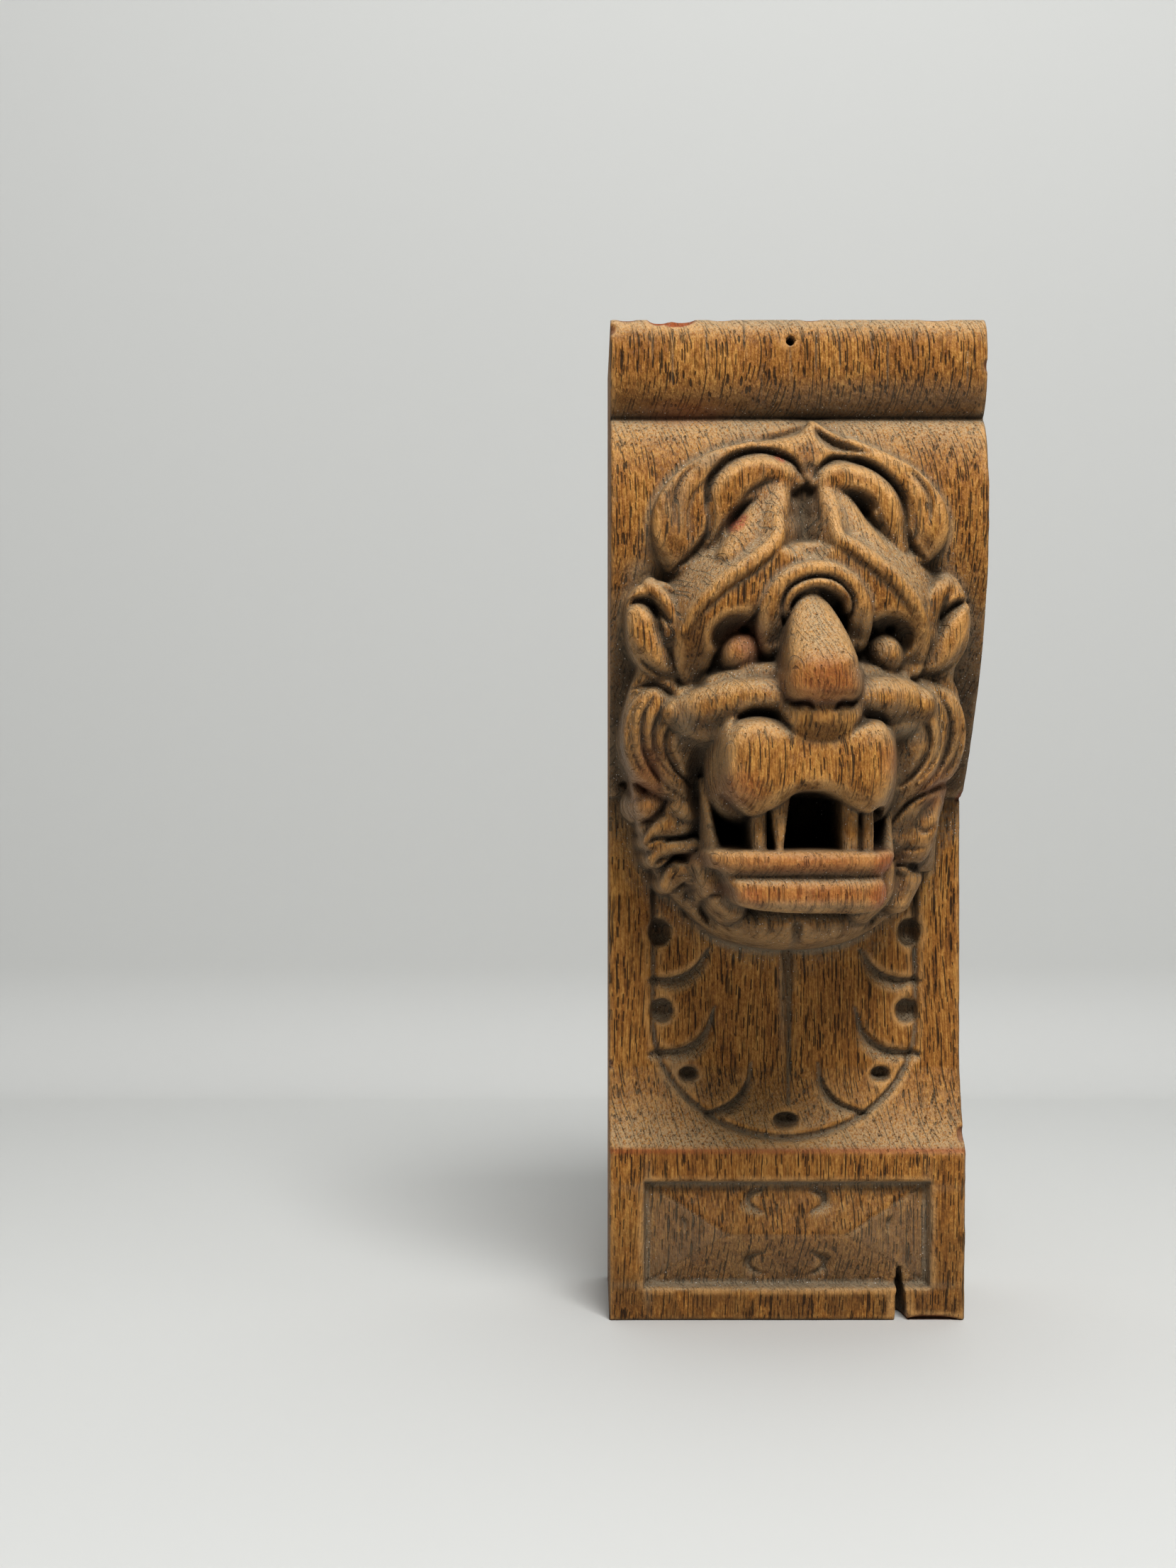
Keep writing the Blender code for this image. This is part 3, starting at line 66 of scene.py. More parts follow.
Pair = tuple[float, float]
Station = tuple[float, ...]
Part = tuple[np.ndarray, ...]
Axes = tuple[float, float, float]
Colour = Axes
Socket = bpy.types.NodeSocket


def bezier(start: Pair, pull_a: Pair, pull_b: Pair, end: Pair, steps: int) -> list[Pair]:
    """Points of a cubic curve after its start, with its end.

    Args:
        start: The point that the curve leaves.
        pull_a: The handle of the start.
        pull_b: The handle of the end.
        end: The point that the curve reaches.
        steps: How many points are made.

    Returns:
        The points.
    """
    points = []
    for i in range(1, steps + 1):
        t = i / steps
        s = 1.0 - t
        weights = (s**3, 3 * s * s * t, 3 * s * t * t, t**3)
        corners = (start, pull_a, pull_b, end)
        points.append(tuple(sum(w * c[k] for w, c in zip(weights, corners)) for k in (0, 1)))
    return points


def smooth_line(points: Sequence[Station], steps: int, closed: bool = False) -> np.ndarray:
    """A smooth line through stations, which may carry further values with their place.

    Args:
        points: The stations, each with its place first.
        steps: How many points are made between two stations.
        closed: Whether the line returns to its start.

    Returns:
        The stations of the line, one row each.
    """
    given = np.array(points, dtype=float)
    if closed:
        ends = np.vstack([given[-1], given, given[:2]])
    else:
        ends = np.vstack([2 * given[0] - given[1], given, 2 * given[-1] - given[-2]])
    line = [ends[1]]
    for a, b, c, d in zip(ends, ends[1:], ends[2:], ends[3:]):
        for j in range(1, steps + 1):
            t = j / steps
            bend = (2 * a - 5 * b + 4 * c - d) * t**2 + (3 * b - a - 3 * c + d) * t**3
            line.append(0.5 * (2 * b + (c - a) * t + bend))
    return np.array(line)


def mirrored(route: Sequence[Station], side: int, shift: float) -> list[Station]:
    """A route on one side of the middle.

    Args:
        route: The route as it is drawn on the right.
        side: -1 for the left and 1 for the right.
        shift: How far it is moved outwards first.

    Returns:
        The route on that side.
    """
    return [(side * (x + shift), *rest) for x, *rest in route]


def blend_max(a: np.ndarray, b: np.ndarray, softness: float) -> np.ndarray:
    """The higher of two, with the corner between them rounded off.

    Args:
        a: One surface.
        b: The other surface.
        softness: How far from the corner the rounding starts.

    Returns:
        The joined surface.
    """
    share = np.clip(0.5 + 0.5 * (a - b) / softness, 0.0, 1.0)
    return b + (a - b) * share + softness * share * (1.0 - share)


def blend_min(a: np.ndarray, b: np.ndarray, softness: float) -> np.ndarray:
    """The lower of two, with the corner between them rounded off.

    Args:
        a: One surface.
        b: The other surface.
        softness: How far from the corner the rounding starts.

    Returns:
        The joined surface.
    """
    return -blend_max(-a, -b, softness)


def blurred(values: np.ndarray, reach: float) -> np.ndarray:
    """A field smoothed by a bell curve, with its edges held.

    Args:
        values: The field.
        reach: The curve's standard deviation, in grid steps.

    Returns:
        The smoothed field.
    """
    size = max(1, int(math.ceil(3.0 * reach)))
    bell = np.exp(-0.5 * (np.arange(-size, size + 1) / reach) ** 2)
    bell /= bell.sum()
    for axis in (0, 1):
        widths = [(size, size) if k == axis else (0, 0) for k in (0, 1)]
        padded = np.pad(values, widths, mode="edge")
        length = values.shape[axis]
        total = np.zeros_like(values)
        for i, weight in enumerate(bell):
            total += weight * padded.take(np.arange(i, i + length), axis=axis)
        values = total
    return values


@dataclass(frozen=True)
class Blank:
    """The moulded oak block that everything is cut from."""

    width: float = 100.0
    height: float = 275.0
    block_height: float = 48.0
    block_depth: float = 57.0
    block_batter: float = 2.0
    block_slant: float = 0.016
    cove_height: float = 22.5
    shaft_depth: float = 47.0
    shaft_top: float = 147.0
    shaft_step: float = 4.5
    bulge_depth: float = 93.0
    crest_drop: float = 23.0
    quirk_height: float = 249.0
    quirk_depth: float = 83.5
    roll_depth: float = 91.0
    roll_top_round: float = 5.0

    def front_line(self) -> list[Pair]:
        """Front line of the side view.

        Returns:
            Points from foot to top, as depth from the wall and height above the foot.
        """
        crest = self.quirk_height - self.crest_drop
        cove = self.block_depth - self.shaft_depth
        belly = self.bulge_depth - self.shaft_depth
        fall = crest - self.shaft_top
        roll = self.height - self.quirk_height
        bulge_foot = (self.shaft_depth + self.shaft_step, self.shaft_top + 0.3)
        line = [(self.block_depth - self.block_batter, 0.0), (self.block_depth, self.block_height)]
        line += bezier(
            line[-1],
            (self.shaft_depth + 0.42 * cove, self.block_height + 0.30 * self.cove_height),
            (self.shaft_depth + 0.16 * cove, self.block_height + 0.62 * self.cove_height),
            (self.shaft_depth, self.block_height + self.cove_height),
            12,
        )
        line += [(self.shaft_depth, self.shaft_top), bulge_foot]
        line += bezier(
            bulge_foot,
            (self.shaft_depth + 0.61 * belly, self.shaft_top + 0.30 * fall),
            (self.bulge_depth, self.shaft_top + 0.61 * fall),
            (self.bulge_depth, crest),
            24,
        )
        line += bezier(
            line[-1],
            (self.bulge_depth, crest + 0.50 * self.crest_drop),
            (
                self.bulge_depth - 0.35 * (self.bulge_depth - self.quirk_depth),
                self.quirk_height - 0.09 * self.crest_drop,
            ),
            (self.quirk_depth, self.quirk_height),
            16,
        )
        line += bezier(
            line[-1],
            (self.roll_depth - 2.4, self.quirk_height + 0.03 * roll),
            (self.roll_depth, self.quirk_height + 0.34 * roll),
            (self.roll_depth, self.quirk_height + 0.64 * roll),
            16,
        )
        line += bezier(
            line[-1],
            (self.roll_depth, self.height - 0.9 * self.roll_top_round),
            (self.roll_depth - 0.3 * self.roll_top_round, self.height - 0.25 * self.roll_top_round),
            (self.roll_depth - self.roll_top_round, self.height + 0.01),
            12,
        )
        return line


class Relief:
    """The carved front as a grid of depths, and the cuts that shape it."""

    def __init__(self, blank: Blank, step: float, mask_scale: float, mask_top: Pair) -> None:
        """Starts from the plain moulded front.

        Args:
            blank: The moulded block.
            step: The grid's spacing.
            mask_scale: How large the mask is, against the size that it is drawn at.
            mask_top: The mask's top edge, as drawn and as it stands.
        """
        self.blank = blank
        self.mask_scale = mask_scale
        self.mask_top = mask_top
        across = int(round(blank.width / step))
        up = int(round(blank.height / step))
        xs = np.linspace(-blank.width / 2.0, blank.width / 2.0, across + 1)
        zs = np.linspace(0.0, blank.height, up + 1)
        self.step = step
        self.place_x, self.place_z = np.meshgrid(xs, zs)
        slanted = np.exp(-(((self.place_z - blank.block_height) / 12.0) ** 2))
        heights = self.place_z + blank.block_slant * self.place_x * slanted
        depths, levels = zip(*blank.front_line())
        self.ground = np.interp(heights, levels, depths)
        self.depth = self.ground.copy()
        self.on_block()

    def on_block(self) -> None:
        """Draws in the corbel's own millimetres."""
        self.scale = 1.0
        self.x, self.z = self.place_x, self.place_z

    def on_mask(self) -> None:
        """Draws in the mask's millimetres."""
        self.scale = self.mask_scale
        self.x = self.place_x / self.scale
        self.z = self.mask_top[0] - (self.mask_top[1] - self.place_z) / self.scale

    def drawn(self, depth: float | np.ndarray) -> float | np.ndarray:
        """A drawn depth from the wall at the mask's real scale."""
        return self.blank.bulge_depth + (depth - self.blank.bulge_depth) * self.scale

    def near(self, line: np.ndarray, reach: float) -> tuple[Part, np.ndarray, np.ndarray, np.ndarray]:
        """The part of the grid near a line.

        Args:
            line: The line, with further values after each place.
            reach: How far from the line the part goes.

        Returns:
            The part, and there the distance, the side and the line's own values.
        """
        low = line[:, :2].min(axis=0) - reach
        high = line[:, :2].max(axis=0) + reach
        rows = np.flatnonzero((self.z[:, 0] >= low[1]) & (self.z[:, 0] <= high[1]))
        columns = np.flatnonzero((self.x[0] >= low[0]) & (self.x[0] <= high[0]))
        part = np.ix_(rows, columns)
        x, z = self.x[part], self.z[part]
        least = np.full(x.shape, np.inf)
        side = np.zeros(x.shape)
        values = np.zeros((line.shape[1] - 2,) + x.shape)
        for a, b in zip(line, line[1:]):
            run, rise = b[:2] - a[:2]
            t = ((x - a[0]) * run + (z - a[1]) * rise) / (run * run + rise * rise + 1e-12)
            t = np.clip(t, 0.0, 1.0)
            off_x, off_z = x - a[0] - t * run, z - a[1] - t * rise
            distance = np.hypot(off_x, off_z)
            closer = distance < least
            least = np.where(closer, distance, least)
            side = np.where(closer, np.sign(run * off_z - rise * off_x), side)
            for i in range(len(values)):
                values[i] = np.where(closer, a[2 + i] + t * (b[2 + i] - a[2 + i]), values[i])
        return part, least, side, values

    def ridge(
        self, route: Sequence[Station], soft: float = 2.0, drop: float = 1.0, power: float = 2.0,
        lift: bool = False, wall: float = 12.0,
    ) -> None:
        """Raises a form along a route.

        Args:
            route: Stations of place, half width and depth from the wall.
            soft: How softly the form joins what it rises from.
            drop: How far the form's edge lies below its crest, in half widths.
            power: How square its section is.
            lift: Whether the depths count from the plain ground instead of the wall.
            wall: How steeply the form falls beyond its edge.
        """
        reach = max(station[2] for station in route) + 4.0
        part, away, _, (half, top) = self.near(smooth_line(route, 8), reach)
        share = np.clip(away / half, 0.0, 1.0)
        section = 1.0 - (1.0 - share**power) ** (1.0 / power)
        crest = self.ground[part] + top * self.scale if lift else self.drawn(top)
        fall = drop * half * section + wall * np.clip(away - half, 0.0, None)
        self.depth[part] = blend_max(self.depth[part], crest - self.scale * fall, soft * self.scale)

    def groove(self, route: Sequence[Station], flanks: Pair = (1.0, 1.0), power: float = 1.4) -> None:
        """Cuts along a route.

        Args:
            route: Stations of place, half width and cut.
            flanks: How much wider the left and the right side are.
            power: How hollow the section is.
        """
        reach = max(station[2] for station in route) * max(flanks) + 2.0
        part, away, side, (half, cut) = self.near(smooth_line(route, 8), reach)
        wide = half * np.where(side >= 0.0, flanks[0], flanks[1])
        self.depth[part] -= cut * self.scale * (1.0 - np.clip(away / wide, 0.0, 1.0)) ** power

    def channel(self, route: Sequence[Station], soft: float = 1.0) -> None:
        """Hollows a round channel along a route.

        Args:
            route: Stations of place, half width and depth of the floor from the wall.
            soft: How softly the channel's edge is rounded.
        """
        reach = max(station[2] for station in route) + 3.0
        part, away, _, (half, floor) = self.near(smooth_line(route, 8), reach)
        hollow = self.drawn(floor) + 0.9 * half * self.scale * np.clip(away / half, 0.0, 3.0) ** 3
        self.depth[part] = blend_min(self.depth[part], hollow, soft * self.scale)

    def oval(self, x: float, z: float, half_x: float, half_z: float, turn: float, power: float) -> np.ndarray:
        """0 in the middle of an oval and 1 on its edge.

        Args:
            x: The middle, across.
            z: The middle, up.
            half_x: Half the oval's length.
            half_z: Half the oval's width.
            turn: How far it is turned, in degrees.
            power: How square it is.

        Returns:
            The share at each place.
        """
        c, s = math.cos(math.radians(turn)), math.sin(math.radians(turn))
        along = (self.x - x) * c + (self.z - z) * s
        across = (self.z - z) * c - (self.x - x) * s
        return np.abs(along / half_x) ** power + np.abs(across / half_z) ** power

    def lump(
        self, x: float, z: float, half_x: float, half_z: float, depth: float, rise: float,
        turn: float = 0.0, soft: float = 3.0, power: float = 2.0,
    ) -> None:
        """Raises an oval swelling.

        Args:
            x: The middle, across.
            z: The middle, up.
            half_x: Half the oval's length.
            half_z: Half the oval's width.
            depth: The top's depth from the wall.
            rise: How far the top stands over the swelling's own edge.
            turn: How far it is turned, in degrees.
            soft: How softly it joins what it rises from.
            power: How square it is.
        """
        share = self.oval(x, z, half_x, half_z, turn, power)
        fall = 1.0 - np.sqrt(np.clip(1.0 - share, 0.0, 1.0)) + 2.0 * np.clip(share - 1.0, 0.0, 50.0)
        raised = blend_max(self.depth, self.drawn(depth) - rise * self.scale * fall, soft * self.scale)
        self.depth = np.where(share < 3.0, raised, self.depth)

    def pit(
        self, x: float, z: float, half_x: float, half_z: float, cut: float, turn: float = 0.0,
        power: float = 2.0,
    ) -> None:
        """Cuts an oval hollow.

        Args:
            x: The middle, across.
            z: The middle, up.
            half_x: Half the oval's length.
            half_z: Half the oval's width.
            cut: How deep it is.
            turn: How far it is turned, in degrees.
            power: How flat its floor is.
        """
        share = self.oval(x, z, half_x, half_z, turn, 2.0) ** (power / 2.0)
        self.depth -= cut * self.scale * np.clip(1.0 - share, 0.0, 1.0)

    def socket(
        self, x: float, z: float, half_x: float, half_z: float, floor: float, slope: float,
        power: float = 4.0, soft: float = 1.5,
    ) -> None:
        """Cuts an oval hollow down to a depth.

        Args:
            x: The middle, across.
            z: The middle, up.
            half_x: Half the oval's length.
            half_z: Half the oval's width.
            floor: The depth of its floor from the wall.
            slope: How far its sides rise.
            power: How flat its floor is.
            soft: How softly its edge is rounded.
        """
        share = self.oval(x, z, half_x, half_z, 0.0, 2.0) ** (power / 2.0)
        self.depth = blend_min(self.depth, self.drawn(floor) + slope * self.scale * share, soft)

    def inside(self, outline: Sequence[Pair]) -> tuple[Part, np.ndarray]:
        """The part of the grid near a closed outline.

        Args:
            outline: The outline's points.

        Returns:
            The part, and there the distance inwards from the outline.
        """
        line = smooth_line(outline, 6, closed=True)
        part, away, _, _ = self.near(line, 6.0)
        x, z = self.x[part], self.z[part]
        within = np.zeros(x.shape, dtype=bool)
        for a, b in zip(line, line[1:]):
            if a[1] != b[1]:
                crossing = a[0] + (z - a[1]) / (b[1] - a[1]) * (b[0] - a[0])
                within ^= ((a[1] > z) != (b[1] > z)) & (x < crossing)
        return part, np.where(within, away, -away)

    def plate(
        self, outline: Sequence[Pair], top: Callable[[Part], np.ndarray], edge: float, soft: float = 0.6,
        wall: float = 25.0,
    ) -> None:
        """Raises the inside of an outline, with a round edge.

        Args:
            outline: The outline's points.
            top: Gives the top's depth for a part of the grid.
            edge: The edge's radius.
            soft: How softly it joins what it rises from.
            wall: How steeply it falls beyond the outline.
        """
        part, inwards = self.inside(outline)
        share = np.clip(1.0 - inwards / edge, 0.0, 1.0)
        fall = edge * (1.0 - np.sqrt(1.0 - share**2)) + wall * np.clip(-inwards, 0.0, None)
        self.depth[part] = blend_max(self.depth[part], top(part) - self.scale * fall, soft * self.scale)

    def sink(
        self, outline: Sequence[Pair], floor: Callable[[Part], np.ndarray], soft: float = 0.5,
        wall: float = 20.0,
    ) -> None:
        """Cuts the inside of an outline down to a floor.

        Args:
            outline: The outline's points.
            floor: Gives the floor's depth for a part of the grid.
            soft: How softly the edge is rounded.
            wall: How steep the sides are.
        """
        part, inwards = self.inside(outline)
        cut = floor(part) + wall * self.scale * np.clip(0.6 - inwards, 0.0, None)
        self.depth[part] = blend_min(self.depth[part], cut, soft * self.scale)

    def sampled(self, values: np.ndarray, x: np.ndarray, z: np.ndarray) -> np.ndarray:
        """A field's values between its grid points.

        Args:
            values: The field.
            x: Places across.
            z: Places up.

        Returns:
            The values there.
        """
        rows, columns = values.shape
        across = np.clip((x + self.blank.width / 2.0) / self.blank.width * (columns - 1), 0, columns - 1.001)
        up = np.clip(z / self.blank.height * (rows - 1), 0, rows - 1.001)
        i, j = up.astype(int), across.astype(int)
        v, u = up - i, across - j
        low = values[i, j] * (1 - u) + values[i, j + 1] * u
        high = values[i + 1, j] * (1 - u) + values[i + 1, j + 1] * u
        return low * (1 - v) + high * v


@dataclass(frozen=True)
class LionMask:
    """The lion mask under the roll.

    Its forms are drawn at the drawn height, with their height above the foot and their
    depth from the wall, and scaled as a whole.
    """

    height: float = 143.0
    gap: float = 1.5
    drawn_height: float = 143.0
    drawn_top: float = 247.5
    mane_outline: tuple[Pair, ...] = (
        (-45.6, 200.4), (-46.4, 195.0), (-45.2, 188.0), (-43.0, 182.0), (-45.2, 175.5), (-47.0, 166.4),
        (-46.2, 158.0), (-44.4, 152.0), (-43.8, 147.0), (-42.6, 140.2), (-40.0, 131.6), (-35.8, 123.6),
        (-29.6, 116.6), (-22.8, 110.4), (-16.4, 106.6), (-7.0, 104.8), (0.6, 104.5), (10.3, 105.2),
        (20.5, 108.6), (27.0, 113.0), (31.6, 118.8), (34.2, 125.6), (36.8, 134.0), (39.4, 142.4),
        (40.8, 149.0), (43.4, 157.0), (44.6, 166.0), (42.8, 175.0), (41.2, 180.0), (43.6, 188.0),
        (44.6, 195.1), (43.7, 201.1), (39.8, 206.4), (32.0, 206.0), (20.0, 205.0), (0.0, 205.0),
        (-20.0, 204.0), (-33.0, 202.0), (-41.5, 203.8),
    )
    mane_levels: tuple[Pair, ...] = (
        (100.0, 52.0), (105.0, 57.0), (110.0, 61.0), (120.0, 66.5), (130.0, 71.0), (140.0, 75.5),
        (150.0, 80.0), (160.0, 85.0), (170.0, 89.5), (180.0, 93.0), (190.0, 95.0), (200.0, 96.0),
        (230.0, 96.5),
    )
    crown_outline: tuple[Pair, ...] = (
        (3.6, 248.0), (7.0, 245.4), (10.0, 243.6), (16.5, 240.5), (23.1, 237.3), (29.6, 233.4),
        (34.2, 228.8), (37.5, 223.6), (38.6, 219.0), (37.8, 214.5), (35.6, 211.0), (32.0, 208.6),
        (27.0, 207.6), (22.0, 209.0), (15.0, 214.0), (9.0, 221.0), (4.0, 228.0), (0.0, 229.0),
        (-5.0, 224.0), (-10.0, 217.0), (-16.0, 210.5), (-21.0, 207.0), (-26.0, 204.6), (-31.0, 204.8),
        (-35.0, 207.0), (-37.8, 211.2), (-38.8, 216.8), (-38.0, 222.0), (-35.4, 227.7), (-31.4, 232.4),
        (-26.9, 236.2), (-21.4, 239.5), (-12.9, 241.4), (-6.4, 242.4), (-1.0, 243.6), (1.5, 245.6),
    )
    muzzle_outline: tuple[Pair, ...] = (
        (-17.8, 166.2), (-13.4, 168.2), (-8.4, 167.8), (-4.0, 166.6), (3.0, 168.0), (10.0, 166.6),
        (16.0, 167.2), (19.9, 166.2), (22.2, 162.0), (22.2, 156.0), (21.3, 149.0), (19.3, 144.6),
        (15.5, 142.9), (11.1, 144.4), (7.3, 146.8), (4.2, 148.2), (-0.2, 148.4), (-2.9, 147.8),
        (-5.9, 145.7), (-9.6, 143.6), (-14.0, 142.5), (-17.2, 144.4), (-19.9, 148.2), (-21.1, 153.8),
        (-21.0, 160.6),
    )
    mouth_outline: tuple[Pair, ...] = (
        (-22.8, 134.2), (-10.0, 134.2), (8.0, 134.2), (21.6, 134.2), (22.4, 141.0), (19.4, 144.9),
        (15.5, 143.2), (11.1, 144.7), (7.3, 147.1), (4.2, 148.5), (-0.2, 148.7), (-2.9, 148.1),
        (-5.9, 146.0), (-9.6, 143.9), (-14.0, 142.8), (-17.2, 144.7), (-20.6, 148.2), (-22.6, 148.6),
        (-23.4, 142.0),
    )
    throat_outline: tuple[Pair, ...] = (
        (-3.4, 134.9), (3.0, 134.6), (9.8, 134.9), (9.8, 141.0), (9.2, 146.4), (3.0, 147.6), (-3.0, 147.2),
        (-3.6, 141.0),
    )
    jaw_outline: tuple[Pair, ...] = (
        (-24.0, 134.0), (-10.0, 134.0), (8.0, 134.0), (21.9, 134.0), (22.2, 130.2), (20.2, 127.5),
        (20.8, 122.0), (17.0, 118.2), (5.0, 117.8), (-8.0, 118.2), (-16.8, 119.8), (-18.9, 124.0),
        (-21.2, 128.2), (-24.4, 130.0),
    )

    @property
    def scale(self) -> float:
        """How large the mask is, against its drawing."""
        return self.height / self.drawn_height

    def carve(self, relief: Relief) -> None:
        """Carves the whole mask, from the mane forwards.

        Args:
            relief: The relief that is carved.
        """
        relief.on_mask()
        for form in (
            self.mane, self.crown, self.face, self.brows, self.eyes, self.cheeks, self.folds, self.nose,
            self.muzzle, self.jaw, self.mouth, self.beard,
        ):
            form(relief)
        relief.on_block()

    def mane(self, relief: Relief) -> None:
        """The plate of the mane, which keeps leaning forward where the shaft falls away behind it.

        Args:
            relief: The relief that is carved.
        """
        heights, depths = zip(*self.mane_levels)

        def top(part: Part) -> np.ndarray:
            """Depth of the mane at each height."""
            return relief.drawn(np.interp(relief.z[part], heights, depths))

        relief.plate(self.mane_outline, top, 3.6)
        self.upper_locks(relief)
        self.side_locks(relief)
        self.lower_locks(relief)

    def upper_locks(self, relief: Relief) -> None:
        """The pair of leafy locks beside the brows, each with a slit in it.

        Args:
            relief: The relief that is carved.
        """
        for side, shift in ((-1, 0.0), (1, -1.4)):
            outer = (
                (41.5, 201.4, 2.2, 97), (42.4, 196.4, 3.4, 98.5), (41.2, 189, 4.2, 99), (38, 183.6, 4, 98),
                (33.5, 180.8, 2.8, 96),
            )
            inner = (
                (39.6, 203.4, 2, 97.5), (35.8, 200.2, 3.2, 99.5), (33.6, 194, 3.2, 99.5),
                (32.4, 188, 2.2, 98),
            )
            relief.ridge(mirrored(outer, side, shift), drop=0.8)
            relief.ridge(mirrored(inner, side, shift), drop=0.9)
        left_slit = (
            (-46, 196.6, 0.8, 1.5), (-43.6, 199.2, 1.8, 4.6), (-40.2, 199, 2.2, 5.4),
            (-37.2, 196.6, 1.9, 4.8), (-35, 193.6, 1.2, 2.4), (-33.8, 190.8, 0.6, 0.8),
        )
        right_slit = (
            (33.4, 188.6, 0.7, 1), (34.9, 191.2, 1.4, 3.2), (38.2, 196, 1.9, 4.8), (41.2, 198.4, 1.9, 4.8),
            (44.2, 199.3, 1.1, 2.4),
        )
        for flanks, route in (
            ((0.7, 1.5), left_slit),
            ((0.8, 1.5), right_slit),
            ((1.4, 0.9), (
                (-44.8, 189.4, 0.6, 0.6), (-43, 184.8, 1.3, 2.4), (-38.6, 180.6, 1.5, 3.2),
                (-33.2, 178.4, 1.5, 3.4), (-30.4, 178.4, 0.9, 1.6),
            )),
            ((1.4, 0.9), (
                (29.8, 180, 0.9, 1.6), (32.8, 179, 1.4, 3.2), (37.8, 180.6, 1.5, 3.2),
                (41.8, 184.8, 1.3, 2.4), (43.2, 189.4, 0.6, 0.6),
            )),
            ((1, 1), (
                (-37.6, 204.2, 1.6, 2), (-32.6, 199.4, 1.8, 4), (-31.8, 193.6, 1.4, 3.2),
                (-33.4, 186.6, 1.2, 2.4), (-32.6, 181, 1.2, 2.4),
            )),
            ((1, 1), (
                (36, 206.4, 1.6, 2), (31.6, 200.4, 1.8, 4), (31.2, 193.6, 1.4, 3.2),
                (31.8, 186.6, 1.2, 2.4), (31.4, 181, 1.2, 2.4),
            )),
        ):
            relief.groove(route, flanks=flanks)

    def side_locks(self, relief: Relief) -> None:
        """The long locks that sweep down both sides of the muzzle.

        Args:
            relief: The relief that is carved.
        """
        lock = (
            (34.5, 176.5, 3, 94.5), (39, 170.5, 5.8, 94.6), (40.6, 163, 6, 92), (39, 156, 5.6, 88),
            (34.5, 150.5, 4, 83.5), (30, 147, 2, 80),
        )
        partings = (
            (
                (41.8, 174, 0.5, 0.4), (44.6, 169, 1.1, 1.6), (45, 162.6, 1.2, 1.8), (43, 156.4, 1.1, 1.6),
                (39.6, 152, 0.5, 0.5),
            ),
            (
                (38.2, 175, 0.5, 0.5), (41.4, 169, 1.3, 2.6), (41.8, 162, 1.4, 3), (39.4, 155.4, 1.3, 2.8),
                (34.6, 150, 0.9, 1.6), (30, 146.6, 0.5, 0.6),
            ),
            (
                (35.2, 172.6, 0.5, 0.4), (38.4, 167, 1.1, 1.8), (38.6, 161, 1.2, 2), (36, 155.4, 1.1, 1.8),
                (32, 151.2, 0.5, 0.6),
            ),
            (
                (31.6, 170.4, 0.5, 0.6), (35, 165, 1.3, 2.6), (35.4, 159.6, 1.4, 3),
                (32.6, 154.4, 1.2, 2.6), (28.4, 150.4, 0.7, 1.2),
            ),
        )
        falls = (
            ((-29, 171, 6, 99), (-31, 163, 7, 96), (-30, 154.5, 7, 91.5), (-28.4, 147, 6, 87)),
            (
                (28.6, 171, 6, 101), (29.6, 163, 7.5, 99.5), (28.6, 154, 7.5, 96), (26.6, 146, 6.5, 91.5),
                (25.4, 138, 5, 87),
            ),
        )
        for fall in falls:
            relief.ridge(fall, soft=3.0, drop=0.6, wall=2.0)
        for side, shift in ((-1, 0.0), (1, -1.8)):
            flanks = (0.7, 1.8) if side > 0 else (1.8, 0.7)
            relief.ridge(mirrored(lock, side, shift), drop=0.8)
            for parting in partings:
                relief.groove(mirrored(parting, side, shift), flanks=flanks)
        for flanks, route in (
            ((1, 1.4), ((-44.2, 176.4, 0.6, 1), (-38.6, 177.4, 1.2, 2.6), (-33.6, 174.4, 1.3, 2.8))),
            ((1, 1), (
                (-46.6, 151, 1, 2.4), (-42.6, 150.8, 1.7, 4.6), (-38, 147.6, 1.6, 4),
                (-33.6, 146.2, 1, 2),
            )),
            ((1, 1), (
                (43.4, 152.6, 1, 2.4), (38.4, 150.4, 1.5, 4.2), (33, 148.4, 1.5, 4),
                (28.6, 145.6, 1.3, 3.2), (24.4, 140, 0.8, 1.6),
            )),
        ):
            relief.groove(route, flanks=flanks)

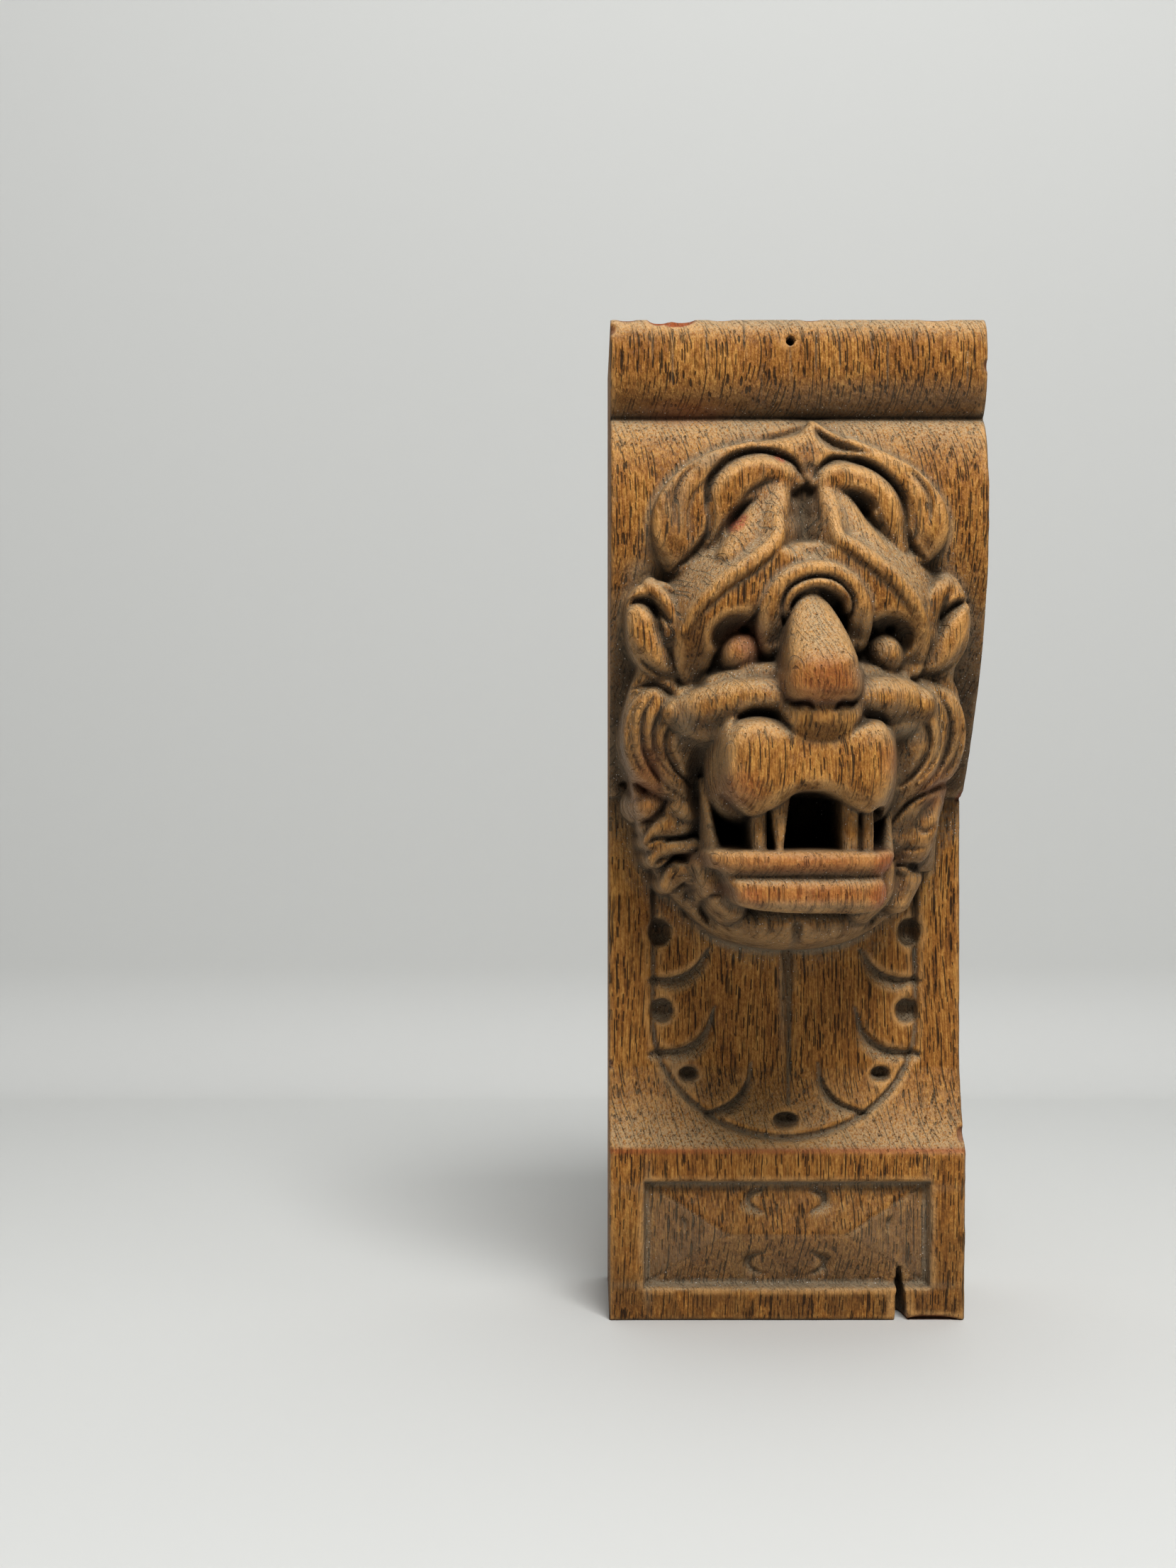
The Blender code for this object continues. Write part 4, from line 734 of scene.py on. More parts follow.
    def lower_locks(self, relief: Relief) -> None:
        """The short locks beside the jaw: wavy on the left, plain lobes on the right.

        Args:
            relief: The relief that is carved.
        """
        relief.lump(-39, 145.2, 4.6, 3.9, 81.5, 5, soft=1.2)
        lobes = (
            ((-30.6, 140.8, 4.2, 83.5), (-35.4, 138.8, 3.2, 81), (-38.4, 135.4, 2.6, 78)),
            ((-27.6, 134.4, 2.2, 82), (-33, 133.8, 2.2, 80), (-37.4, 130.6, 2.4, 76.5)),
            ((-26.4, 127.4, 3.8, 80.5), (-30.8, 127.2, 3.4, 77.5), (-34.2, 123.6, 2.4, 73.5)),
            ((36, 146, 3.6, 83.5), (33.4, 140.5, 5, 85.5), (31, 134, 5.4, 84.5), (29.6, 130.6, 4, 82)),
            ((30.2, 125.6, 4.6, 79.5), (28.2, 119.8, 4, 77.5)),
        )
        for lobe in lobes:
            relief.ridge(lobe, soft=2.0, drop=0.8)
        partings = (
            (
                (-34.4, 148.8, 0.7, 1.2), (-35.4, 145, 1.2, 3.4), (-39, 141.4, 1.3, 3.4),
                (-43, 139.8, 0.9, 1.8),
            ),
            (
                (-27.2, 139.8, 0.6, 0.8), (-28.8, 137.2, 1.2, 3), (-33.1, 136.5, 1.2, 3.2),
                (-37.8, 136.2, 1.1, 2.6), (-41, 133.2, 0.8, 1.4),
            ),
            (
                (-24.8, 133.9, 0.7, 1.2), (-28.6, 131.3, 1.8, 4.8), (-33, 131.4, 1.4, 3.8),
                (-36.8, 130, 1.2, 2.8), (-38.2, 126.8, 0.8, 1.4),
            ),
            ((-23.8, 125.6, 0.6, 0.8), (-28.6, 124.4, 1, 1.8), (-32.6, 121.6, 0.8, 1.4)),
            ((31, 140.2, 0.8, 0.5), (34.4, 138.2, 1.3, 1.3), (37.8, 140.6, 0.9, 0.8)),
            ((25.2, 134.6, 0.8, 0.5), (30, 133.5, 1.2, 1), (35, 134, 0.8, 0.5)),
            ((22.6, 128, 0.8, 1), (27.6, 129.2, 1.2, 2.2), (32.4, 128.8, 1.4, 3.4), (35, 126.6, 0.8, 1.4)),
        )
        for parting in partings:
            relief.groove(parting)
        relief.pit(32.4, 128.6, 2.3, 1.4, 3.5, power=3)

    def crown(self, relief: Relief) -> None:
        """The two leaf scrolls that fall from the tip over the temples.

        Args:
            relief: The relief that is carved.
        """
        relief.plate(self.crown_outline, lambda part: relief.ground[part] + 4.8 * relief.scale, 3.2)
        lobes = (
            (
                (-13, 239.5, 1.8, 5.2), (-22, 236.4, 2.4, 5.8), (-29.5, 231, 3.2, 6), (-34, 224, 4.2, 6.4),
                (-34.3, 216, 4.6, 6.6), (-31.5, 210.6, 3.4, 5.6),
            ),
            (
                (13, 240.4, 1.8, 5.2), (22, 235.6, 2.4, 5.8), (29, 230.4, 3.2, 6), (33.6, 223, 4.2, 6.4),
                (34.2, 216.4, 4.2, 6.6), (32.2, 212.2, 3, 5.6),
            ),
            (
                (-4, 233.5, 3, 5.6), (-11, 234, 4.2, 7), (-18, 230, 4.6, 7.2), (-21, 223, 4.2, 6.6),
                (-22.5, 216, 3.4, 6),
            ),
            (
                (7, 231.8, 3, 5.6), (13, 231.4, 4.2, 7), (19.5, 227.6, 4.6, 7.2), (23, 221.6, 4, 6.8),
                (25.5, 214.6, 3.2, 6.2),
            ),
        )
        for lobe in lobes:
            relief.ridge(lobe, soft=1.6, drop=0.5, power=3.0, lift=True)
        left_band = (
            (1.8, 229.8, 1.1, 2), (-1.8, 235.6, 1.5, 4), (-6.4, 238.1, 1.8, 4.4), (-11.6, 238.8, 1.9, 4.4),
            (-16.8, 237.6, 1.9, 4.2), (-20.8, 235, 1.9, 4), (-24, 231.3, 1.7, 3.6), (-25, 226.6, 1.5, 2.8),
            (-24.6, 219.7, 1.4, 2.8), (-25.6, 215.1, 1.7, 3.6), (-29.3, 210.8, 1.6, 3.4),
            (-33.8, 207.4, 0.8, 1.2),
        )
        right_band = (
            (3, 231.6, 1.1, 2), (6.7, 235.9, 1.5, 4), (10.6, 237, 1.8, 4.4), (17.2, 235.3, 1.9, 4.2),
            (22.3, 231.8, 1.9, 4), (26.3, 226.9, 1.7, 3.6), (27.5, 221.9, 1.5, 2.8), (27.7, 217.7, 1.5, 3),
            (29.2, 213.4, 1.6, 3.4), (33.2, 209.4, 0.8, 1.2),
        )
        for flanks, route in (
            ((2.0, 0.7), left_band),
            ((0.7, 2.0), right_band),
            ((1.7, 0.8), (
                (-27.5, 234.9, 0.6, 0.5), (-30.4, 232.6, 1.2, 2), (-32.7, 228.8, 1.3, 2.3),
                (-33.7, 224.3, 1.1, 2), (-33.1, 220.5, 0.8, 1.2), (-32.5, 216.4, 0.5, 0.4),
            )),
            ((0.8, 1.7), (
                (27.5, 233.6, 0.6, 0.5), (30.3, 231.4, 1.2, 2), (32.9, 227.5, 1.3, 2.3),
                (33.7, 222.9, 1.1, 2), (33.3, 218.8, 0.5, 0.4),
            )),
            ((0.8, 1.6), (
                (-20.4, 220.4, 0.7, 0.6), (-21.4, 215.6, 1.5, 2.8), (-24.9, 210.4, 1.6, 3),
                (-29.8, 206.6, 0.7, 0.8),
            )),
            ((1.6, 0.8), (
                (19.8, 223.2, 0.7, 0.8), (21.1, 216.4, 1.4, 2.6), (23.3, 212.3, 1.5, 2.8),
                (28.6, 209, 0.7, 0.8),
            )),
        ):
            relief.groove(route, flanks=flanks)
        relief.groove(
            (
                (3.8, 246.3, 0.6, 1), (5.6, 243.3, 1.6, 4.2), (9.6, 240.4, 1.9, 4.6),
                (14.2, 238.9, 1.2, 2.6), (18, 238, 0.5, 0.4),
            ),
            flanks=(1, 1.5),
            power=1.0,
        )
        relief.groove(
            ((2.2, 246.4, 0.5, 0.6), (-1.6, 244.6, 1, 1.8), (-6, 243.2, 1.2, 1.8), (-11, 242, 0.6, 0.5)),
            flanks=(1.2, 1.2),
        )
        for x, z, half_x, half_z, cut, turn in (
            (-14.8, 220.6, 7, 4, 6.4, 38), (-12.6, 216.6, 6, 3.6, 5, 52), (14.6, 224.6, 5.6, 3.4, 6.2, -22),
            (16.6, 219.6, 6, 3.2, 4.6, -58),
        ):
            relief.pit(x, z, half_x, half_z, cut, turn)

    def face(self, relief: Relief) -> None:
        """The swelling under the face, with a hollow beside the muzzle.

        Args:
            relief: The relief that is carved.
        """
        relief.lump(1, 196, 30, 30, 100.5, 14, soft=4)
        relief.lump(0.5, 170, 29, 30, 103, 26, soft=4)
        relief.lump(1, 150, 22, 22, 102, 30, soft=3)
        relief.pit(-24.5, 150, 6, 12, 6, turn=8, power=1.6)

    def brows(self, relief: Relief) -> None:
        """Two sharp ridges down the forehead that turn out into heavy brows, with a channel between them.

        Args:
            relief: The relief that is carved.
        """
        relief.lump(1.5, 205.5, 13.5, 8.5, 108.2, 7, soft=2.5, power=2.6)
        ridges = (
            ((-4.4, 231, 1.8, 97.5), (-6, 225, 3, 101.5), (-7.4, 218.5, 3.6, 105), (-8.6, 211, 4.4, 107.8)),
            (
                (5.8, 230.5, 1.8, 97.5), (6.8, 225, 2.8, 101.5), (8, 218.5, 3.4, 105),
                (9.2, 211.6, 4.4, 107.8),
            ),
        )
        slopes = (
            (
                (-6.6, 229.5, 3.0, 97.5), (-9.4, 222.5, 5.0, 100.5), (-12.6, 215.5, 6.2, 104),
                (-17, 209, 6, 106),
            ),
            (
                (8.4, 229, 3.0, 97.5), (10.6, 222.5, 4.6, 100.5), (13.4, 215.5, 5.8, 104),
                (18, 209.5, 5.6, 106),
            ),
        )
        for ridge in slopes + ridges:
            relief.ridge(ridge, drop=1.3, wall=3.0)
        brows = (
            (
                (-7.6, 207, 6, 108.6), (-13.6, 202.6, 6.6, 108.6), (-20, 197.8, 6.8, 107.8),
                (-25.2, 192.6, 6.6, 106), (-28, 186.6, 5.6, 102.5), (-28.2, 181, 4.4, 98.5),
                (-26.8, 177.4, 2.4, 95),
            ),
            (
                (9.6, 207.6, 6, 108.6), (15.2, 204, 6.4, 108.6), (21, 199.2, 6.6, 107.8),
                (26, 193.6, 6.2, 106), (28.2, 187.6, 5.2, 102.5), (28.4, 182.4, 3.8, 98.5),
            ),
        )
        for brow in brows:
            relief.ridge(brow, soft=1.2, drop=0.8, power=4.0)
        crests = (
            (
                (-6.6, 222, 1.4, 104), (-7.4, 214, 2, 109.2), (-13.4, 208, 2.4, 110.6),
                (-20.1, 203.4, 2.4, 110), (-26.4, 197.4, 2.2, 108), (-30.6, 190.6, 1.8, 104.6),
            ),
            (
                (7.6, 222, 1.4, 104), (8.6, 214.4, 2, 109.2), (12.6, 211.4, 2.4, 110.2),
                (18.4, 207.4, 2.4, 110.4), (24.2, 202.2, 2.4, 109.4), (28.6, 196.4, 2.2, 107.4),
                (30.2, 190.8, 1.8, 104.4),
            ),
        )
        for crest in crests:
            relief.ridge(crest, soft=0.8, drop=1.2, wall=1.6)
        relief.channel(
            (
                (2.4, 233, 3.6, 96), (0.9, 227, 5, 98.4), (0.5, 220.6, 5.8, 101.2),
                (1.2, 215.8, 5.9, 103.4), (1.8, 213, 5, 105),
            )
        )

    def eyes(self, relief: Relief) -> None:
        """The eyeballs in their sockets, each with a drilled corner.

        Args:
            relief: The relief that is carved.
        """
        for x, half in ((-16.2, 5.2), (21.8, 4.7)):
            relief.socket(x + math.copysign(0.8, x), 188, half + 2, 6.2, 97.5, 6)
            relief.lump(x, 185.2, half, 5.8, 105, 8, turn=math.copysign(24, x), soft=1.0)
            relief.pit(x + 1.4, 191.4, 1.3, 1.1, 6, power=4)
            relief.pit(x - 1.8, 180.6, 2.8, 1.3, 1.6, turn=-14)

    def cheeks(self, relief: Relief) -> None:
        """The cheekbones that stand out like wings at both sides of the nose.

        Args:
            relief: The relief that is carved.
        """
        wings = (
            (
                (-2.5, 171.8, 4.6, 114.5), (-8.5, 173.2, 5.2, 113.6), (-15, 172.8, 6, 111.6),
                (-22, 171.2, 6.4, 108), (-28.4, 170, 5.6, 104), (-32.4, 169.6, 4, 100),
            ),
            (
                (8.6, 171.8, 4.6, 114.5), (14, 173.2, 5.2, 113.6), (19.5, 173, 6, 111.6),
                (25.4, 172.6, 6.2, 108), (30, 171.6, 5, 104),
            ),
        )
        undersides = (
            ((-17, 165.6, 4, 105), (-23, 166, 4.6, 104), (-29, 167, 4, 101.5)),
            ((19, 166.4, 4, 105), (24.4, 167, 4.6, 104), (28.4, 168.4, 4, 102)),
        )
        shelves = (
            ((-4, 179, 4, 108), (-10, 178.6, 4, 106.6), (-16, 177.8, 4, 104.6), (-22, 176, 4, 102)),
            ((9.6, 179, 4, 108), (14.6, 178.6, 4, 106.4), (20, 177.6, 4, 104.2), (25, 176.6, 4, 101.6)),
        )
        for shelf in shelves + undersides:
            relief.ridge(shelf, soft=3.0, drop=1.2, wall=3.0)
        for wing in wings:
            relief.ridge(wing, drop=1.3, wall=6.0)
        relief.lump(-21, 162.5, 8.5, 9, 92, 14, turn=-20, soft=5)
        relief.lump(23.5, 163.5, 8, 9, 92, 14, turn=20, soft=5)

    def folds(self, relief: Relief) -> None:
        """Two arched folds over the root of the nose.

        Args:
            relief: The relief that is carved.
        """
        outer = (
            (-8.4, 187.6, 3.3, 105.5), (-8.9, 192, 3.5, 108.6), (-8.3, 197.6, 3.3, 110.6),
            (-5.4, 202.2, 3, 111.8), (-1.2, 205, 2.7, 112.2), (3, 205.8, 2.6, 112.4),
            (7.2, 204.9, 2.7, 112.2), (11.2, 201.9, 3, 111.8), (13.8, 197.4, 3.3, 110.6),
            (14.3, 192.4, 3.4, 108.6), (13.8, 188.6, 3.2, 105.5),
        )
        inner = (
            (-5.6, 195.4, 1.5, 110.4), (-4.4, 199, 1.7, 112), (-1.2, 201.7, 1.8, 113),
            (2.8, 202.6, 1.8, 113.2), (6.8, 201.8, 1.8, 113), (10, 199.4, 1.7, 112),
            (11.2, 196.4, 1.5, 110.4),
        )
        relief.ridge(outer, soft=0.5, drop=1.3, power=2.6)
        relief.ridge(inner, soft=0.4, drop=1.6, power=2.2)
        for flanks, route in (
            ((1, 1), (
                (-5.6, 192.5, 0.8, 1.5), (-6.1, 197.4, 1, 2.6), (-3.6, 201.8, 1, 2.8),
                (2.8, 204.1, 1, 2.8), (8.4, 202.6, 1, 2.8), (11.8, 198.4, 1, 2.6), (11.6, 194, 0.8, 1.5),
            )),
            ((1, 1), (
                (-4, 193.5, 0.8, 1.5), (-2.8, 198.4, 1, 2.2), (2.8, 200.9, 1.1, 2.6),
                (8.2, 198.8, 1, 2.2), (9.6, 194.6, 0.8, 1.5),
            )),
        ):
            relief.groove(route, flanks=flanks)

    def nose(self, relief: Relief) -> None:
        """The long round nose.

        Args:
            relief: The relief that is carved.
        """
        bridge = (
            (1.4, 200, 2.2, 110), (1.4, 197, 4.6, 113), (1.8, 192, 6.8, 118), (2.5, 186.6, 8.2, 123),
            (3.1, 182.2, 9, 126.4), (3.4, 180.4, 9, 127.2),
        )
        relief.ridge(bridge, soft=0.8, drop=1.0, power=2.3, wall=8.0)
        relief.lump(3.6, 176.8, 9.4, 5.4, 126.6, 7, soft=1.2, power=3.0)

    def muzzle(self, relief: Relief) -> None:
        """The broad upper lip of two pads, under the arched grooves of the cheeks.

        Args:
            relief: The relief that is carved.
        """
        def top(part: Part) -> np.ndarray:
            """Depth of the upper lip's front."""
            lean = 0.0105 * (relief.z[part] - 153.5) ** 2
            turn = 0.0042 * (relief.x[part] - 0.8) ** 2
            return relief.drawn(119.5 - lean - turn)

        relief.plate(self.muzzle_outline, top, 4.8, soft=0.8)
        relief.lump(-12.4, 156.4, 8.8, 11.4, 119.8, 6, soft=2.5, power=2.8)
        relief.lump(13.8, 156.4, 8.2, 11.4, 119.8, 6, soft=2.5, power=2.8)
        relief.lump(3.4, 168, 10.4, 7.2, 122, 8, soft=3.5)
        for flanks, route in (
            ((0.8, 1.5), (
                (-20.4, 162.2, 0.8, 1), (-18.2, 166.8, 1.5, 4.5), (-13.4, 169.4, 1.8, 6.5),
                (-8.4, 168.7, 1.7, 5.5), (-5, 165.4, 1, 2), (-3.2, 163.2, 0.5, 0.4),
            )),
            ((1.5, 0.8), (
                (10.4, 163.2, 0.5, 0.4), (12.4, 165.6, 1.2, 2.5), (16.2, 167.8, 1.6, 5),
                (19.9, 167.4, 1.5, 5), (22, 163.6, 1, 2),
            )),
        ):
            relief.groove(route, flanks=flanks)
        for side in (-1, 1):
            nostril = (
                (9, 172.6, 0.5, 1), (7.2, 171.4, 1.1, 3.4), (4.4, 171.8, 1.3, 4), (2.6, 170, 0.6, 1.4),
            )
            relief.groove([(3.6 + side * x, z, half, cut) for x, z, half, cut in nostril])

    def jaw(self, relief: Relief) -> None:
        """The lower jaw: a straight lip, a hollow under it and the roll of the chin.

        Args:
            relief: The relief that is carved.
        """
        def top(part: Part) -> np.ndarray:
            """Depth of the jaw's front."""
            x, z = relief.x[part], relief.z[part]
            bow = 5.0 * np.abs((x + 0.8) / 22.0) ** 4
            neck = 2.6 * np.exp(-(((z - 127.6) / 1.5) ** 2)) + 0.9 * (z < 127.6)
            chin = 0.05 * np.clip(122.0 - z, 0.0, None) ** 2
            return relief.drawn(115.6 - bow - neck - chin)

        relief.plate(self.jaw_outline, top, 2.2, soft=0.5)
        for fold in (
            ((-24.4, 129.6, 3, 87), (-21.6, 123.4, 4, 86), (-17, 117.6, 3.4, 83)),
            ((23, 128.6, 3, 87), (22, 122.6, 4, 85), (17.8, 117.4, 3.4, 82)),
        ):
            relief.ridge(fold, soft=3.0, drop=0.8, wall=5.0)

    def mouth(self, relief: Relief) -> None:
        """The open mouth with the square hole behind the teeth, the teeth and the corners of the lips.

        Args:
            relief: The relief that is carved.
        """
        def floor(part: Part) -> np.ndarray:
            """Depth of the mouth's back."""
            x, z = relief.x[part], relief.z[part]
            cheek = 10.0 * np.clip((-10.0 - x) / 6.0, 0.0, 1.0)
            return relief.drawn(95.0 + cheek - 0.2 * (z - 134.0))

        relief.sink(self.mouth_outline, floor)

        def throat(part: Part) -> np.ndarray:
            """Depth of the square hole's back."""
            return np.full(relief.x[part].shape, relief.drawn(78.0))

        relief.sink(self.throat_outline, throat, wall=60.0)
        teeth = (
            ((-12, 147.5, 2.1, 110.5), (-12, 140, 2, 110.8), (-12, 134, 2.2, 111), (-12, 132.4, 2.2, 111)),
            (
                (-6.9, 149, 3.2, 111), (-6.9, 144, 2.4, 111.6), (-6.9, 139, 1.7, 112),
                (-6.9, 134, 1.1, 112), (-6.9, 132.4, 1, 112),
            ),
            (
                (11.3, 149, 2.4, 110.5), (11.3, 141, 2.3, 111), (11.2, 134, 2.4, 111),
                (11.2, 132.4, 2.3, 111),
            ),
            (
                (15.9, 147.5, 1.8, 109.6), (15.9, 140, 1.7, 110), (15.8, 134, 1.8, 110),
                (15.8, 132.4, 1.8, 110),
            ),
        )
        for tooth in teeth:
            relief.ridge(tooth, soft=0.3, power=2.5, wall=40.0)
        corners = (
            ((-25.6, 152, 0.9, 90), (-24.4, 145, 1.1, 94), (-23.4, 138, 1.3, 99), (-22.6, 133, 1.8, 106)),
            ((23.6, 146, 1, 88), (23.2, 139, 1.3, 94), (22.2, 133, 1.8, 102)),
        )
        for corner in corners:
            relief.ridge(corner, soft=1.2, drop=2.0)

    def beard(self, relief: Relief) -> None:
        """The oval tuft under the chin, with a curl beside it.

        Args:
            relief: The relief that is carved.
        """
        relief.lump(0.2, 113.2, 23.2, 8.6, 80, 22, soft=1.5)
        hem = (
            (-25.5, 119.8, 0.8, 1), (-23.8, 114.6, 1.5, 4), (-19.5, 109.8, 1.4, 3.4),
            (-10, 106.2, 1.2, 2.4), (0.6, 105.2, 1.2, 2.4), (12, 106.4, 1.2, 2.4), (20.5, 110.4, 1.4, 3.4),
            (25.2, 116.2, 1.2, 2.6),
        )
        for flanks, route in (
            ((1.6, 0.8), hem),
            ((1, 1), (
                (-20, 121.6, 0.6, 1), (-23.5, 120.6, 1.3, 3), (-24.6, 117, 1.6, 4.5),
                (-22.4, 113.8, 1, 2),
            )),
            ((1.4, 0.8), (
                (-26, 122.8, 0.5, 0.8), (-29, 120.4, 1.1, 2.2), (-29.2, 115.8, 1.1, 2.2),
                (-26.6, 112.2, 0.6, 0.8),
            )),
        ):
            relief.groove(route, flanks=flanks)


@dataclass(frozen=True)
class LeafCarving:
    """The leaf on the shaft: its outline, a midrib, curved cuts and their eyes."""

    width: float = 75.0
    gap: float = 3.0
    round_share: float = 0.42
    outline_cut: float = 2.2
    gouge_cut: float = 3.6
    eye_cut: float = 5.5
    hidden_share: float = 0.14

    def carve(self, relief: Relief, mask: LionMask) -> None:
        """Carves the leaf.

        Args:
            relief: The relief that is carved.
            mask: The mask that the leaf runs under.
        """
        foot = relief.blank.block_height + self.gap
        top = relief.blank.quirk_height - mask.gap - mask.height * (1.0 - self.hidden_share)
        rise = top - foot
        half = self.width / 2.0
        bend = foot + self.round_share * self.width
        turns = [math.pi * (1.0 + i / 10.0) for i in range(11)]
        bow = [(half * math.cos(a), bend + (bend - foot) * math.sin(a), 1.2, self.outline_cut) for a in turns]
        left = [(-half, z, 1.3, self.outline_cut) for z in (top, (top + bend) / 2.0)]
        right = [(half, z, 1.3, self.outline_cut) for z in ((top + bend) / 2.0, top)]
        relief.groove(left + bow + right, flanks=(1.3, 0.8), power=1.0)
        midrib = (
            (0.6, 0.83, 1.9, 1.15), (1.3, 0.60, 1.7, 1.1), (1.4, 0.35, 1.3, 0.9), (0.9, 0.13, 0.8, 0.5),
        )
        relief.groove([(x, foot + rise * z, w, c * self.outline_cut) for x, z, w, c in midrib], power=0.8)
        gouges = (
            (
                (1.00, 0.600, 1.5, 0.7), (0.83, 0.600, 2.1, 1.0), (0.68, 0.640, 1.8, 0.85),
                (0.58, 0.715, 0.9, 0.3),
            ),
            (
                (1.00, 0.315, 1.4, 0.7), (0.77, 0.325, 2.3, 1.0), (0.61, 0.385, 2.0, 0.85),
                (0.54, 0.490, 0.9, 0.25),
            ),
            (
                (0.60, 0.085, 1.4, 0.6), (0.40, 0.125, 1.8, 0.9), (0.29, 0.195, 1.5, 0.8),
                (0.26, 0.275, 0.8, 0.25),
            ),
        )
        eyes = ((0.95, 0.785, 3.5, 4.2), (0.93, 0.480, 3.4, 3.8), (0.73, 0.235, 3.0, 2.2))
        for side in (-1, 1):
            flanks = (1.7, 0.8) if side > 0 else (0.8, 1.7)
            for gouge in gouges:
                relief.groove(
                    [(side * half * x, foot + rise * z, w, c * self.gouge_cut) for x, z, w, c in gouge],
                    flanks=flanks,
                )
            for x, z, half_x, half_z in eyes:
                relief.pit(side * half * x, foot + rise * z, half_x, half_z, self.eye_cut, power=3)
        relief.pit(0, foot + 0.065 * rise, 3.8, 2.2, self.eye_cut, power=3)


@dataclass(frozen=True)
class BlockPanel:
    """The sunk panel of the block, with a low hipped field and ovals of thumb cuts."""

    top_rim: float = 8.7
    foot_rim: float = 9.0
    sink: float = 3.6
    hip_rise: float = 3.2
    hip_inset: float = 1.5
    hip_ridge_share: float = 0.41
    thumb_cut: float = 2.4
    half: float = 40.4

    def middle(self, blank: Blank) -> float:
        """Height of the panel's middle."""
        return (self.foot_rim + blank.block_height - self.top_rim) / 2.0

    def half_up(self, blank: Blank) -> float:
        """Half the panel's height."""
        return (blank.block_height - self.top_rim - self.foot_rim) / 2.0

    def slopes(self, relief: Relief) -> tuple[np.ndarray, np.ndarray, np.ndarray]:
        """How the field lies in the panel.

        Args:
            relief: The relief that is carved.

        Returns:
            The distance inwards from the rim, and how far up the end and face slopes each place lies.
        """
        inner = self.half - self.hip_inset
        up = self.half_up(relief.blank)
        x, z = np.abs(relief.x), np.abs(relief.z - self.middle(relief.blank))
        inwards = np.minimum(self.half - x, up - z)
        end_slope = (inner - x) / (inner - self.half * self.hip_ridge_share)
        return inwards, end_slope, (up - self.hip_inset - z) / (up - self.hip_inset)

    def film(self, relief: Relief) -> np.ndarray:
        """Where dusty film lies: on the ends, on the lower face and along the rim; on the ends and the lower
        face it also stands for painted shade.

        Args:
            relief: The finished relief.

        Returns:
            How much dusty film there is, with painted shade on the ends and the lower face.
        """
        inwards, end_slope, face_slope = self.slopes(relief)
        # Painted shade: the ends and the lower face get more dusty film, partly as real film and partly as
        # painted shade of slopes facing down or sideways.
        low = np.where(relief.z < self.middle(relief.blank), 0.36, 0.05)
        dust_and_panel_shade = np.where(end_slope < face_slope, 0.5, low)
        return np.where(inwards > 0.0, np.where(inwards < self.hip_inset, 0.9, dust_and_panel_shade), 0.0)

    def carve(self, relief: Relief) -> None:
        """Carves the panel.

        Args:
            relief: The relief that is carved.
        """
        half, middle, half_up = self.half, self.middle(relief.blank), self.half_up(relief.blank)
        inwards, end_slope, face_slope = self.slopes(relief)
        hipped = self.hip_rise * np.clip(np.minimum(end_slope, face_slope), 0.0, 1.0)
        sunk = relief.depth - self.sink * np.clip(inwards / 0.8, 0.0, 1.0) + hipped
        relief.depth = np.where(inwards > 0.0, sunk, relief.depth)
        top = half * self.hip_ridge_share
        relief.groove(((-top, middle, 0.7, 0.6), (0.0, middle, 0.6, 0.5), (top, middle, 0.7, 0.6)))
        for side in (-1, 1):
            for up in (-1, 1):
                corner = (side * (half - 1.0), middle + up * (half_up - 1.0), 0.7, 0.7)
                relief.groove((corner, (side * top, middle, 0.7, 0.6)))
        thumb = ((-0.95, 0.5, 0.2), (-0.4, 1.5, 0.8), (0.0, 2.0, 1.0), (0.4, 1.5, 0.8), (0.95, 0.5, 0.2))
        for up in (0.62, -0.56):
            for side in (-1, 1):
                route = []
                for turn, wide, share in thumb:
                    across = side * 0.26 * half * math.cos(turn)
                    height = middle + half_up * (up + 0.27 * math.sin(turn))
                    route.append((across, height, wide, share * self.thumb_cut))
                relief.groove(route, flanks=(0.7, 1.6) if side > 0 else (1.6, 0.7))
        for side in (-1, 1):
            nick = ((0.745, 0.32, 0.5, 0.2), (0.71, 0.2, 1.4, 0.7), (0.715, 0.0, 0.5, 0.2))
            relief.groove(
                [(side * half * a, middle + half_up * b, w, c * self.thumb_cut) for a, b, w, c in nick]
            )


class Trace(Enum):
    """What a century or two has left on the wood, with the enclosed hollows and proud spots that the finish
    paints shade and highlights by, each stored as an attribute of the mesh.
    """

    HOLLOW = "hollow"
    RUBBED_AND_HIGHLIGHT = "rubbed_and_highlight"
    DUSTY_AND_PANEL_SHADE = "dusty_and_panel_shade"
    RAW = "raw_wood"
    PAINT = "old_paint"
    GROOVED = "grooved"


